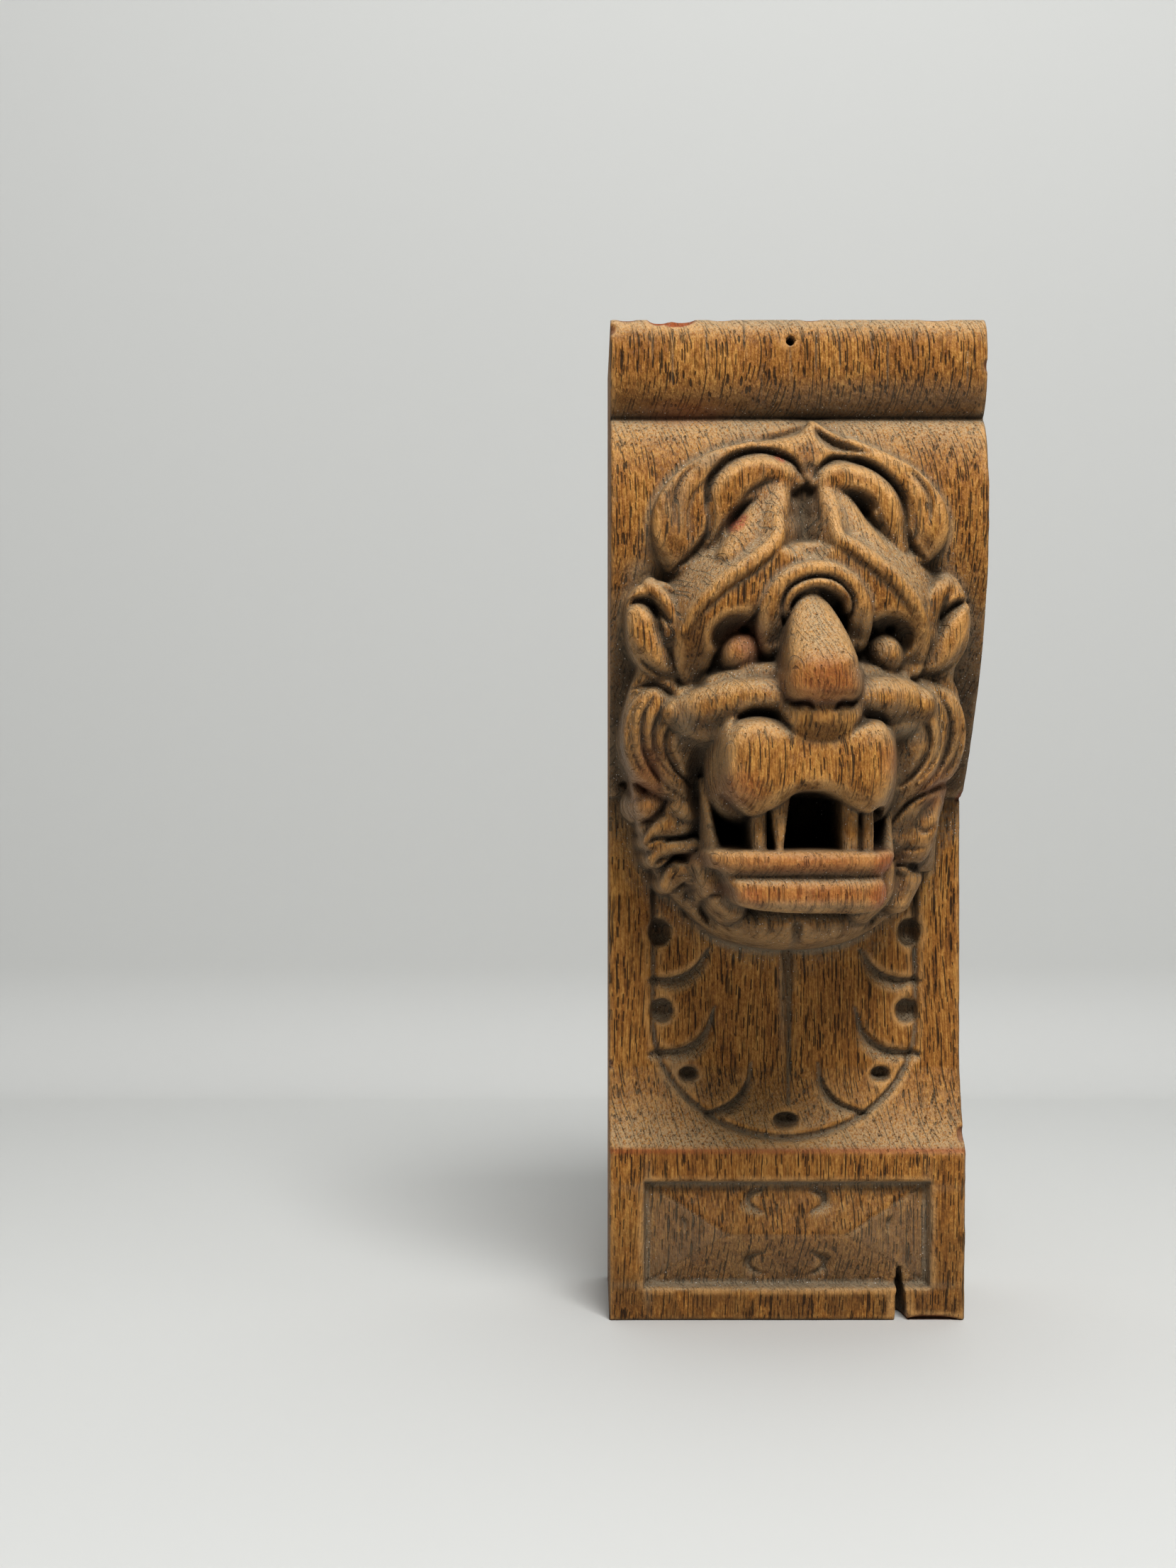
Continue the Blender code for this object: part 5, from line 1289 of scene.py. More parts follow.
@dataclass
class Ageing:
    """Tool marks, wear, shakes and grime of the carved front, with the enclosed hollows that the finish
    paints shade into and the proud spots it paints highlights onto.
    """

    seed: int = 11
    crisp: float = 0.12
    rub_reach: float = 0.8
    rub_share: float = 0.30
    proud_reach: float = 1.2
    broad_reach: float = 5.0
    proud_rub_and_highlight: float = 3.2
    broad_rub_and_highlight: float = 0.05
    rub_and_highlight_start: float = 0.40
    groove_gain: float = 2.6
    groove_start: float = 0.2
    edge_red: float = 0.8
    edge_half: float = 0.7
    tool_mark: float = 0.16
    sway: float = 0.35
    fur: float = 0.05
    look_skip: int = 2
    look_ways: int = 12
    look_steps: tuple[int, ...] = (1, 2, 3, 5, 8, 12, 18, 26)
    arris_wear: float = 0.9
    nail_radius: float = 1.1
    nail_depth: float = 6.0
    nail_drop: float = 6.5
    nail_side: float = -2.3
    split_side: float = 32.2
    split_width: float = 1.8
    split_height: float = 14.0
    split_depth: float = 13.0
    checks: tuple[Station, ...] = (
        (-39.0, 262.0, 272.0), (-33.6, 256.0, 271.0), (-24.4, 258.0, 273.5), (-14.4, 261.0, 275.0),
        (-10.0, 252.0, 262.0), (-2.3, 250.0, 275.0), (4.6, 252.0, 272.0), (10.6, 260.0, 275.0),
        (19.0, 263.0, 275.0), (23.4, 254.0, 268.0), (30.6, 262.0, 274.0), (44.6, 256.0, 266.0),
    )
    chips: tuple[Station, ...] = (
        (-36.8, 275.6, 3.4, 2.6, 5.0, 12.0), (-31.6, 274.2, 4.4, 1.6, 4.2, 8.0),
        (-45.6, 275.0, 2.6, 1.0, 1.6, 0.0), (-20.5, 275.4, 3.6, 1.0, 1.4, 0.0),
        (3.4, 275.2, 2.8, 0.9, 1.4, 0.0), (36.8, 275.2, 4.2, 0.8, 1.2, 0.0),
        (49.8, 262.0, 0.9, 1.8, 1.6, 0.0), (-49.8, 271.6, 1.2, 1.6, 1.6, 0.0),
        (49.6, 147.6, 1.2, 1.4, 2.2, 0.0), (-49.8, 71.0, 1.0, 1.6, 1.2, 0.0),
        (49.4, 52.0, 1.4, 2.2, 2.0, 0.0), (40.6, 0.0, 8.4, 1.5, 2.6, 0.0),
    )
    dusty_spots: tuple[Station, ...] = (
        (0.8, 221.0, 4.2, 9.0, 0.9), (2.0, 233.0, 3.0, 3.0, 0.6), (-33.0, 225.0, 3.0, 7.0, 0.5),
        (-25.0, 236.0, 5.0, 2.6, 0.6), (-41.0, 207.0, 4.5, 3.5, 0.8), (36.5, 206.5, 4.5, 3.0, 0.8),
        (-13.0, 187.5, 3.0, 7.0, 0.9), (13.5, 179.5, 3.2, 5.0, 0.9), (27.0, 164.5, 6.5, 3.4, 0.9),
        (-19.0, 181.0, 5.0, 2.4, 0.5), (0.0, 127.6, 20.0, 1.5, 0.9), (0.0, 120.0, 19.0, 1.4, 0.6),
        (0.0, 135.4, 18.0, 1.0, 0.6), (-31.0, 166.0, 3.4, 6.0, 0.8), (-39.2, 24.0, 1.4, 16.0, 0.9),
        (39.4, 26.0, 1.6, 14.0, 0.7), (0.0, 37.6, 40.0, 1.4, 0.6), (0.0, 10.0, 40.0, 1.2, 0.8),
        (22.0, 254.0, 40.0, 4.0, 0.35), (0.0, 274.0, 46.0, 1.6, 0.5), (-30.0, 68.0, 5.0, 5.0, 0.5),
        (0.0, 98.0, 1.6, 22.0, 0.8),
    )
    paint_spots: tuple[Station, ...] = (
        (-16.6, 219.0, 3.2, 1.7, 50.0), (-5.6, 236.6, 1.8, 1.0, -40.0),
    )
    red_stains: tuple[Station, ...] = (
        (0.0, 131.0, 23.0, 2.4, 0.45), (20.5, 130.5, 4.0, 2.8, 0.8), (2.0, 123.2, 20.0, 2.4, 0.40),
        (19.5, 122.5, 4.0, 3.2, 0.8), (-14.0, 122.8, 4.0, 2.2, 0.6), (3.0, 177.0, 8.0, 5.5, 0.50),
        (-15.5, 187.5, 4.5, 4.5, 0.45), (-30.0, 250.0, 10.0, 3.0, 0.30), (-40.0, 152.0, 4.0, 9.0, 0.35),
        (38.0, 150.0, 5.0, 5.0, 0.30), (-17.0, 150.0, 5.0, 4.0, 0.35), (21.0, 157.0, 3.0, 4.0, 0.30),
    )

    def noise(self, relief: Relief, across: float, up: float, turn: int) -> np.ndarray:
        """A smooth random field from -1 to 1.

        Args:
            relief: The relief that it covers.
            across: The size of its patches, across.
            up: The size of its patches, up.
            turn: Which field it is.

        Returns:
            The field on the relief's grid.
        """
        blank = relief.blank
        draw = np.random.default_rng(self.seed + 101 * turn)
        rows, columns = int(blank.height / up) + 4, int(blank.width / across) + 4
        knots = draw.uniform(-1.0, 1.0, (rows, columns))
        v = relief.place_z[:, 0] / up + 0.5
        u = (relief.place_x[0] + blank.width / 2.0) / across + 0.5
        i, j = v.astype(int), u.astype(int)
        v, u = v - i, u - j
        v, u = v * v * (3.0 - 2.0 * v), u * u * (3.0 - 2.0 * u)
        lines = knots[i] * (1.0 - v)[:, None] + knots[i + 1] * v[:, None]
        return lines[:, j] * (1.0 - u) + lines[:, j + 1] * u

    def wear(self, relief: Relief) -> None:
        """Softens the cuts, rubs the high spots and leaves the tool's marks.

        Args:
            relief: The relief that is aged.
        """
        relief.depth = blurred(relief.depth, self.crisp / relief.step)
        proud = relief.depth - blurred(relief.depth, self.rub_reach / relief.step)
        relief.depth -= self.rub_share * np.clip(proud - 0.05, 0.0, 1.2)
        carved = np.clip(np.abs(relief.depth - relief.ground) / 2.0, 0.25, 1.0)
        marks = self.noise(relief, 3.4, 4.6, 1) + 0.6 * self.noise(relief, 1.5, 2.6, 2)
        relief.depth += self.tool_mark * carved * marks
        relief.depth += self.sway * self.noise(relief, 21.0, 34.0, 3)
        relief.depth += self.fur * self.noise(relief, 0.9, 5.0, 4)

    def arrises(self, relief: Relief) -> None:
        """Rounds the long corners unevenly and chips them.

        Args:
            relief: The relief that is aged.
        """
        blank = relief.blank
        sway = 0.55 * self.noise(relief, 60.0, 9.0, 5) + 0.45 * self.noise(relief, 60.0, 2.6, 6)
        round_off = self.arris_wear * (1.0 + 0.8 * sway)
        for away in (
            blank.width / 2.0 - np.abs(relief.place_x),
            relief.place_z,
        ):
            inner = np.clip(round_off - away, 0.0, None)
            relief.depth -= round_off - np.sqrt(np.clip(round_off**2 - inner**2, 0.0, None))
        for x, z, half_x, half_z, cut, turn in self.chips:
            relief.pit(x, z, half_x, half_z, cut, turn, power=3)

    def shakes(self, relief: Relief) -> None:
        """Args:
            relief: The relief that is aged.
        """
        for x, low, high in self.checks:
            relief.groove(
                (
                    (x, low, 0.2, 0.1), (x + 0.2, low + 0.3 * (high - low), 0.34, 0.8),
                    (x - 0.1, low + 0.7 * (high - low), 0.36, 0.9), (x + 0.1, high, 0.3, 0.7),
                ),
                power=1.0,
            )
        relief.pit(
            self.nail_side,
            relief.blank.height - self.nail_drop,
            self.nail_radius,
            self.nail_radius,
            self.nail_depth,
            power=8,
        )
        relief.groove(
            (
                (self.split_side, -1.0, self.split_width, self.split_depth),
                (self.split_side - 0.2, 0.55 * self.split_height, 0.7 * self.split_width, self.split_depth),
                (self.split_side - 0.4, self.split_height, 0.35 * self.split_width, 0.3 * self.split_depth),
            ),
            power=0.5,
        )

    def shadowed(self, relief: Relief) -> np.ndarray:
        """How enclosed each place is, from the horizon around it.

        Args:
            relief: The finished relief.

        Returns:
            0 in the open and 1 in a deep hole.
        """
        depth = relief.depth[::self.look_skip, ::self.look_skip]
        spacing = relief.step * self.look_skip
        rows, columns = depth.shape
        reach = max(self.look_steps)
        padded = np.pad(depth, reach, mode="edge")
        total = np.zeros_like(depth)
        for k in range(self.look_ways):
            angle = 2.0 * math.pi * (k + 0.5) / self.look_ways
            steepest = np.zeros_like(depth)
            for distance in self.look_steps:
                i = int(round(distance * math.sin(angle)))
                j = int(round(distance * math.cos(angle)))
                if i == 0 and j == 0:
                    continue
                seen = padded[reach + i:reach + i + rows, reach + j:reach + j + columns]
                steepest = np.maximum(steepest, (seen - depth) / (math.hypot(i, j) * spacing))
            total += steepest / np.sqrt(1.0 + steepest**2)
        return relief.sampled(total / self.look_ways, relief.place_x, relief.place_z)

    def spots(self, relief: Relief, stations: Sequence[Station]) -> np.ndarray:
        """Soft oval spots.

        Args:
            relief: The finished relief.
            stations: Each spot's place, half its length and width, and its strength.

        Returns:
            How strong they are at each place.
        """
        strengths = np.zeros_like(relief.depth)
        for x, z, half_x, half_z, strength in stations:
            share = ((relief.place_x - x) / half_x) ** 2 + ((relief.place_z - z) / half_z) ** 2
            strengths = np.maximum(strengths, strength * np.exp(-0.7 * share**1.5))
        return strengths

    def traces(self, relief: Relief) -> dict[Trace, np.ndarray]:
        """The fields that the finish reads.

        Args:
            relief: The finished relief.

        Returns:
            One field for each trace.
        """
        proud = relief.depth - blurred(relief.depth, self.proud_reach / relief.step)
        broad = relief.depth - blurred(relief.depth, self.broad_reach / relief.step)
        # Proud spots: real wear, and also where the finish paints highlights.
        rubbed_and_highlight = self.proud_rub_and_highlight * proud + self.broad_rub_and_highlight * broad - self.rub_and_highlight_start
        raw = self.spots(relief, self.red_stains)
        for x, z, half_x, half_z, cut, turn in self.chips:
            share = relief.oval(x, z, half_x * 1.1, half_z * 1.1, turn, 2.0)
            raw = np.maximum(raw, np.clip(1.6 - 1.6 * share, 0.0, 1.0) * min(1.0, cut / 4.0))
        edge = relief.place_z - relief.blank.block_height
        raw = np.maximum(raw, self.edge_red * np.exp(-((edge / self.edge_half) ** 2)))
        paint = np.zeros_like(proud)
        for x, z, half_x, half_z, turn in self.paint_spots:
            paint = np.maximum(paint, np.clip(1.3 - relief.oval(x, z, half_x, half_z, turn, 2.0), 0.0, 1.0))
        return {
            Trace.HOLLOW: self.shadowed(relief),
            Trace.RUBBED_AND_HIGHLIGHT: np.clip(rubbed_and_highlight, 0.0, 1.0),
            Trace.DUSTY_AND_PANEL_SHADE: self.spots(relief, self.dusty_spots),
            Trace.RAW: raw,
            Trace.PAINT: paint,
            Trace.GROOVED: np.clip(-self.groove_gain * proud - self.groove_start, 0.0, 1.0),
        }


@dataclass
class Corbel:
    """The whole carved block as one mesh."""

    blank: Blank = field(default_factory=Blank)
    mask: LionMask = field(default_factory=LionMask)
    leaf: LeafCarving = field(default_factory=LeafCarving)
    panel: BlockPanel = field(default_factory=BlockPanel)
    ageing: Ageing = field(default_factory=Ageing)
    fine_step: float = 0.25
    columns: int = 190
    rows: int = 470
    least_depth: float = 20.0
    nose_reach: float = 34.5
    felt_reach: float = 0.3
    slides: int = 130
    inner_slide: float = 0.45
    rim_slide: float = 0.35
    rise_share: float = 0.6
    least_pull: float = 0.05
    arris_band: float = 0.5
    back_rings: tuple[Pair, ...] = ((0.0, 1.6), (0.12, 0.7), (0.7, 0.0))
    side_reach: float = 0.3
    crease: float = 50.0

    def relief(self) -> Relief:
        """Carves and ages the front.

        Returns:
            The finished relief.
        """
        top = (self.mask.drawn_top, self.blank.quirk_height - self.mask.gap)
        relief = Relief(self.blank, self.fine_step, self.mask.scale, top)
        self.mask.carve(relief)
        self.leaf.carve(relief, self.mask)
        self.panel.carve(relief)
        self.ageing.wear(relief)
        self.ageing.arrises(relief)
        self.ageing.shakes(relief)
        limit = self.blank.bulge_depth + self.nose_reach * self.mask.scale
        relief.depth = np.clip(relief.depth, self.least_depth, limit)
        return relief

    def spread(self, relief: Relief) -> tuple[np.ndarray, np.ndarray]:
        """Slides the points of an even grid until steep flanks get as many as flat stretches.

        Args:
            relief: The finished relief.

        Returns:
            The points' places, across and up.
        """
        half = self.blank.width / 2.0
        x, z = np.meshgrid(
            np.linspace(-half, half, self.columns), np.linspace(0.0, self.blank.height, self.rows)
        )
        felt = blurred(relief.depth, self.felt_reach / relief.step)
        for _ in range(self.slides):
            depth = relief.sampled(felt, x, z)
            right, left, up, down = self.pulls(x, z, depth)
            for values in (x, z):
                drawn = right[1:-1] * values[1:-1, 2:] + left[1:-1] * values[1:-1, :-2]
                drawn += up[:, 1:-1] * values[2:, 1:-1] + down[:, 1:-1] * values[:-2, 1:-1]
                drawn /= right[1:-1] + left[1:-1] + up[:, 1:-1] + down[:, 1:-1]
                values[1:-1, 1:-1] += self.inner_slide * (drawn - values[1:-1, 1:-1])
            for end in (0, -1):
                for line, ahead, behind in (
                    (x[end], right[end], left[end]), (z[:, end], up[:, end], down[:, end])
                ):
                    drawn = (ahead * line[2:] + behind * line[:-2]) / (ahead + behind)
                    line[1:-1] += self.rim_slide * (drawn - line[1:-1])
        return x, z

    def pulls(self, x: np.ndarray, z: np.ndarray, depth: np.ndarray) -> tuple[np.ndarray, ...]:
        """How strongly each point is drawn along its four edges, by their lengths over the carving.

        Args:
            x: The points' places, across.
            z: The points' places, up.
            depth: Their depth from the wall.

        Returns:
            The pulls to the right, left, up and down.
        """
        across, upwards = (
            np.sqrt(
                np.diff(x, axis=axis) ** 2
                + np.diff(z, axis=axis) ** 2
                + self.rise_share * np.diff(depth, axis=axis) ** 2
            ) + self.least_pull
            for axis in (1, 0)
        )
        return across[:, 1:], across[:, :-1], upwards[1:], upwards[:-1]

    def build(self, finish: bpy.types.Material) -> bpy.types.Object:
        """Shapes the grid, closes it to a block and stores its traces.

        Args:
            finish: The oak's finish.

        Returns:
            The corbel's object.
        """
        relief = self.relief()
        x, z = self.spread(relief)
        depth = relief.sampled(relief.depth, x, z)
        bm = bmesh.new()
        bmesh.ops.create_grid(bm, x_segments=self.columns - 1, y_segments=self.rows - 1, size=0.5)
        for vert in bm.verts:
            j = round((vert.co.x + 0.5) * (self.columns - 1))
            i = round((vert.co.y + 0.5) * (self.rows - 1))
            vert.co = (x[i, j] * MM, -depth[i, j] * MM, (z[i, j] - self.blank.height / 2.0) * MM)
        front = len(bm.verts)
        rim = [edge for edge in bm.edges if edge.is_boundary]
        rim, band = self.ring(bm, rim)
        for vert in band:
            vert.co.y += self.arris_band * MM
        for inset, level in self.back_rings:
            rim, moved = self.ring(bm, rim)
            for vert in moved:
                vert.co.y = -level * MM
                for axis, reach in ((0, self.blank.width / 2.0), (2, self.blank.height / 2.0)):
                    if abs(abs(vert.co[axis]) - reach * MM) < self.side_reach * MM:
                        vert.co[axis] = math.copysign((reach - inset) * MM, vert.co[axis])
        bmesh.ops.contextual_create(bm, geom=rim)
        bmesh.ops.recalc_face_normals(bm, faces=bm.faces)
        bm.verts.index_update()
        for face in bm.faces:
            face.smooth = True
        for edge in bm.edges:
            if len(edge.link_faces) == 2 and edge.calc_face_angle(0.0) > math.radians(self.crease):
                edge.smooth = edge.verts[0].index < front and edge.verts[1].index < front
        mesh = bpy.data.meshes.new("carved_oak")
        bm.to_mesh(mesh)
        bm.free()
        self.store(mesh, relief, front)
        mesh.materials.append(finish)
        made = bpy.data.objects.new("carved_oak", mesh)
        bpy.context.scene.collection.objects.link(made)
        return made

    def ring(
        self, bm: bmesh.types.BMesh, rim: list[bmesh.types.BMEdge]
    ) -> tuple[list[bmesh.types.BMEdge], list[bmesh.types.BMVert]]:
        """Extrudes the open rim once, in place.

        Args:
            bm: The mesh.
            rim: The open edges.

        Returns:
            The new open edges and their points.
        """
        grown = bmesh.ops.extrude_edge_only(bm, edges=rim)["geom"]
        edges = [item for item in grown if isinstance(item, bmesh.types.BMEdge) and item.is_boundary]
        return edges, [item for item in grown if isinstance(item, bmesh.types.BMVert)]

    def store(self, mesh: bpy.types.Mesh, relief: Relief, front: int) -> None:
        """Stores the traces on the mesh, which are plain beyond the front.

        Args:
            mesh: The closed mesh.
            relief: The finished relief.
            front: How many of the mesh's first points lie on the front.
        """
        places = np.empty(len(mesh.vertices) * 3, dtype=np.float32)
        mesh.vertices.foreach_get("co", places)
        places = places.reshape(-1, 3) / MM
        x, z = places[:, 0], places[:, 2] + self.blank.height / 2.0
        for trace, values in self.ageing.traces(relief).items():
            # The panel's dusty film, with its painted shade, joins the dusty spots.
            if trace is Trace.DUSTY_AND_PANEL_SHADE:
                values = np.maximum(values, self.panel.film(relief))
            stored = relief.sampled(values, x, z)
            stored[front:] = 0.0
            layer = mesh.attributes.new(trace.value, "FLOAT", "POINT")
            layer.data.foreach_set("value", stored.astype(np.float32))


class NodeBench:
    """A short way to lay out the nodes of one material."""

    def __init__(self, name: str) -> None:
        """Starts a material with its shader.

        Args:
            name: The material's name.
        """
        self.material = bpy.data.materials.new(name)
        self.material.use_nodes = True
        self.tree = self.material.node_tree
        self.shader = self.tree.nodes["Principled BSDF"]

    def add(self, kind: str, **settings: object) -> bpy.types.Node:
        """A new node.

        Args:
            kind: The node's type.
            **settings: Values of its own properties.

        Returns:
            The node.
        """
        node = self.tree.nodes.new(kind)
        for key, value in settings.items():
            setattr(node, key, value)
        return node

    def feed(self, socket: Socket, value: object) -> None:
        """Links a socket to another, or sets its value.

        Args:
            socket: The socket that is fed.
            value: A socket, a number or a tuple.
        """
        if isinstance(value, Socket):
            self.tree.links.new(value, socket)
        else:
            socket.default_value = value

    def math(self, operation: str, a: object, b: object = 0.0, clamp: bool = False) -> Socket:
        """A sum of two values.

        Args:
            operation: The kind of sum.
            a: The first value.
            b: The second value.
            clamp: Whether the result stays from 0 to 1.

        Returns:
            The result.
        """
        node = self.add("ShaderNodeMath", operation=operation, use_clamp=clamp)
        self.feed(node.inputs[0], a)
        self.feed(node.inputs[1], b)
        return node.outputs[0]

    def vector(self, operation: str, a: object, b: object) -> Socket:
        """A sum of two vectors.

        Args:
            operation: The kind of sum.
            a: The first vector.
            b: The second vector.

        Returns:
            The result, or its length where the sum gives one.
        """
        node = self.add("ShaderNodeVectorMath", operation=operation)
        self.feed(node.inputs[0], a)
        self.feed(node.inputs[1], b)
        return node.outputs["Value" if operation in ("DISTANCE", "DOT_PRODUCT") else "Vector"]

    def times(self, a: object, b: object) -> Socket:
        """The product of two values."""
        return self.math("MULTIPLY", a, b)

    def plus(self, a: object, b: object) -> Socket:
        """Two values added up."""
        return self.math("ADD", a, b)

    def minus(self, a: object, b: object) -> Socket:
        """The first value less the second."""
        return self.math("SUBTRACT", a, b)

    def larger(self, a: object, b: object, clamp: bool = False) -> Socket:
        """The larger of two values."""
        return self.math("MAXIMUM", a, b, clamp)

    def scaled(self, place: object, scale: Axes) -> Socket:
        """A place with each of its axes scaled."""
        return self.vector("MULTIPLY", place, scale)

    def step(self, value: object, low: float, high: float, top: float = 1.0) -> Socket:
        """A smooth step from 0 to a top between two values, or down if they are given so.

        Args:
            value: What is stepped.
            low: Where the step starts.
            high: Where the step ends.
            top: The value beyond its end.

        Returns:
            The stepped value.
        """
        node = self.add("ShaderNodeMapRange", interpolation_type="SMOOTHSTEP")
        start, end, first, last = (low, high, 0.0, top) if low < high else (high, low, top, 0.0)
        for socket, given in zip(node.inputs, (value, start, end, first, last)):
            self.feed(socket, given)
        return node.outputs[0]

    def noise(
        self, place: object, scale: Axes, detail: float, rough: float = 0.5, output: str = "Fac"
    ) -> Socket:
        """Cloudy noise with patches one unit wide.

        Args:
            place: Where it is read.
            scale: How the place is scaled first.
            detail: How many finer layers it has.
            rough: How strong they are.
            output: Whether the value or the colour is taken.

        Returns:
            The noise.
        """
        spot = self.scaled(place, scale)
        node = self.add("ShaderNodeTexNoise")
        self.feed(node.inputs["Vector"], spot)
        node.inputs["Scale"].default_value = 1.0
        node.inputs["Detail"].default_value = detail
        node.inputs["Roughness"].default_value = rough
        return node.outputs[output]

    def cells(self, place: object) -> bpy.types.Node:
        """Cells one unit wide with their distance and colour.

        Args:
            place: Where they are read.

        Returns:
            The node.
        """
        node = self.add("ShaderNodeTexVoronoi")
        self.feed(node.inputs["Vector"], place)
        node.inputs["Scale"].default_value = 1.0
        return node

    def blend(self, share: object, a: object, b: object) -> Socket:
        """A colour between two.

        Args:
            share: How much of the second.
            a: The first colour.
            b: The second colour.

        Returns:
            The colour.
        """
        node = self.add("ShaderNodeMix", data_type="RGBA")
        self.feed(node.inputs[0], share)
        self.feed(node.inputs[6], (*a, 1.0) if isinstance(a, tuple) else a)
        self.feed(node.inputs[7], (*b, 1.0) if isinstance(b, tuple) else b)
        return node.outputs[2]

    def ramp(self, value: object, stops: Sequence[tuple[float, Colour]]) -> Socket:
        """A colour by value.

        Args:
            value: The value.
            stops: Places along the ramp with their colours.

        Returns:
            The colour.
        """
        node = self.add("ShaderNodeValToRGB")
        elements = node.color_ramp.elements
        while len(elements) < len(stops):
            elements.new(0.5)
        for element, (place, colour) in zip(elements, stops):
            element.position = place
            element.color = (*colour, 1.0)
        self.feed(node.inputs[0], value)
        return node.outputs[0]

    def first(self, colour: Socket) -> Socket:
        """The red share of a colour, as a random number for each cell."""
        node = self.add("ShaderNodeSeparateColor")
        self.feed(node.inputs[0], colour)
        return node.outputs[0]

    def trace(self, name: Trace) -> Socket:
        """One of the mesh's traces.

        Args:
            name: Which trace.

        Returns:
            Its value.
        """
        return self.add("ShaderNodeAttribute", attribute_name=name.value).outputs["Fac"]


@dataclass(frozen=True)
class OldOak:
    """Old waxed oak with upright grain and dark pores; grime and painted shade in the cuts, worn high spots
    with a painted highlight, tops paled as dusty film and painted light, undersides darkened as grime and
    painted shade.
    """

    dark: Colour = (0.18, 0.066, 0.010)
    middle: Colour = (0.37, 0.155, 0.026)
    light: Colour = (0.61, 0.32, 0.082)
    pore: Colour = (0.014, 0.007, 0.003)
    # Grime in the cuts, also used as the painted shade of the hollows.
    grime_and_hollow_shade: Colour = (0.028, 0.019, 0.010)
    # Dark colour for undersides, as grime and painted shade, and for the darker foot.
    underside_grime_shade_and_dark_foot: Colour = (0.055, 0.026, 0.008)
    # Grey dusty colour, also the painted shade of the panel's ends and lower face.
    dust_and_panel_shade: Colour = (0.27, 0.23, 0.165)
    # Worn wood colour, also used as a painted highlight on proud spots.
    rub_and_highlight: Colour = (0.74, 0.42, 0.155)
    # Pale dusty colour for tops, also used as painted top light.
    pale_dust_and_top_light: Colour = (0.60, 0.44, 0.255)
    raw: Colour = (0.40, 0.11, 0.030)
    paint: Colour = (0.50, 0.10, 0.055)
    wax_speck: Colour = (0.78, 0.75, 0.70)
    pith: Axes = (-46.0, 62.0, 0.0)
    ring: float = 2.7
    sway_scale: Axes = (0.05, 0.05, 0.012)
    sway_reach: Axes = (7.0, 7.0, 0.0)
    fibre_scale: Axes = (2.6, 2.6, 0.12)
    fleck_scale: Axes = (1.5, 1.5, 0.6)
    cloud_scale: Axes = (0.055, 0.055, 0.022)
    pore_scale: Axes = (0.85, 0.85, 0.08)
    mottle_scale: Axes = (0.16, 0.16, 0.12)
    speckle_scale: Axes = (1.9, 1.9, 1.5)
    wax_scale: Axes = (1.5, 1.5, 1.5)
    grit_scale: Axes = (2.6, 2.6, 2.0)
    cut_scale: Axes = (0.8, 0.8, 0.4)
    short_lines: tuple[Pair, Pair, float] = ((0.9, 0.20), (0.15, 0.34), 0.42)
    long_lines: tuple[Pair, Pair, float] = ((0.36, 0.062), (0.055, 0.36), 0.20)
    bump_depth: float = 0.0006
    specular: float = 0.38

    def make(self) -> bpy.types.Material:
        """Lays out the finish.

        Returns:
            The material.
        """
        bench = NodeBench("old_waxed_oak")
        coordinates = bench.add("ShaderNodeTexCoord").outputs["Object"]
        place = bench.scaled(coordinates, (1000.0, 1000.0, 1000.0))
        sway = bench.noise(place, self.sway_scale, 1.0, output="Color")
        sway = bench.scaled(bench.vector("SUBTRACT", sway, (0.5, 0.5, 0.5)), self.sway_reach)
        grain = bench.vector("ADD", place, sway)
        colour, pores, fibres = self.wood(bench, grain, place)
        colour, grime_and_hollow_shade, dust_and_panel_shade, rubbed_and_highlight, speck = self.age(bench, colour, place)
        bench.feed(bench.shader.inputs["Base Color"], colour)
        gloss = bench.plus(0.47, bench.times(fibres, 0.12))
        gloss = bench.plus(gloss, bench.times(dust_and_panel_shade, 0.4))
        gloss = bench.plus(gloss, bench.times(pores, 0.25))
        gloss = bench.minus(gloss, bench.times(rubbed_and_highlight, 0.26))
        gloss = bench.minus(gloss, bench.times(speck, 0.4))
        bench.feed(bench.shader.inputs["Roughness"], bench.larger(gloss, 0.16))
        self.surface(bench, pores, fibres, place, grime_and_hollow_shade)
        return bench.material

    def wood(
        self, bench: NodeBench, grain: Socket, place: Socket
    ) -> tuple[Socket, Socket, Socket]:
        """The wood itself: year rings, fibres and pores.

        Args:
            bench: The material's nodes.
            grain: Places in the swaying grain.
            place: Places on the block.

        Returns:
            The colour, the pores and the fibres.
        """
        flat = bench.scaled(grain, (1.0, 1.0, 0.0))
        radius = bench.vector("DISTANCE", flat, self.pith)
        year = bench.math("FRACT", bench.math("DIVIDE", radius, self.ring))
        early = bench.times(bench.step(year, 0.0, 0.12), bench.step(year, 0.62, 0.30))
        fibres = bench.noise(grain, self.fibre_scale, 3.0, 0.6)
        fleck = bench.noise(grain, self.fleck_scale, 3.0, 0.65)
        cloud = bench.noise(place, self.cloud_scale, 3.0, 0.6)
        tone = bench.plus(bench.times(fibres, 0.62), bench.times(fleck, 0.42))
        tone = bench.plus(tone, bench.times(cloud, 0.30))
        tone = bench.minus(tone, bench.times(early, 0.04))
        colour = bench.ramp(tone, ((0.50, self.dark), (0.64, self.middle), (0.80, self.light)))
        end_pores = bench.cells(bench.scaled(grain, self.pore_scale)).outputs["Distance"]
        end_pores = bench.times(bench.step(end_pores, 0.30, 0.18), bench.plus(early, 0.35))
        short_lines = bench.times(self.lines(bench, grain, *self.short_lines), 0.9)
        long_lines = self.lines(bench, grain, *self.long_lines)
        pores = bench.larger(bench.larger(end_pores, short_lines), long_lines, clamp=True)
        return bench.blend(bench.times(pores, 0.85), colour, self.pore), pores, fibres

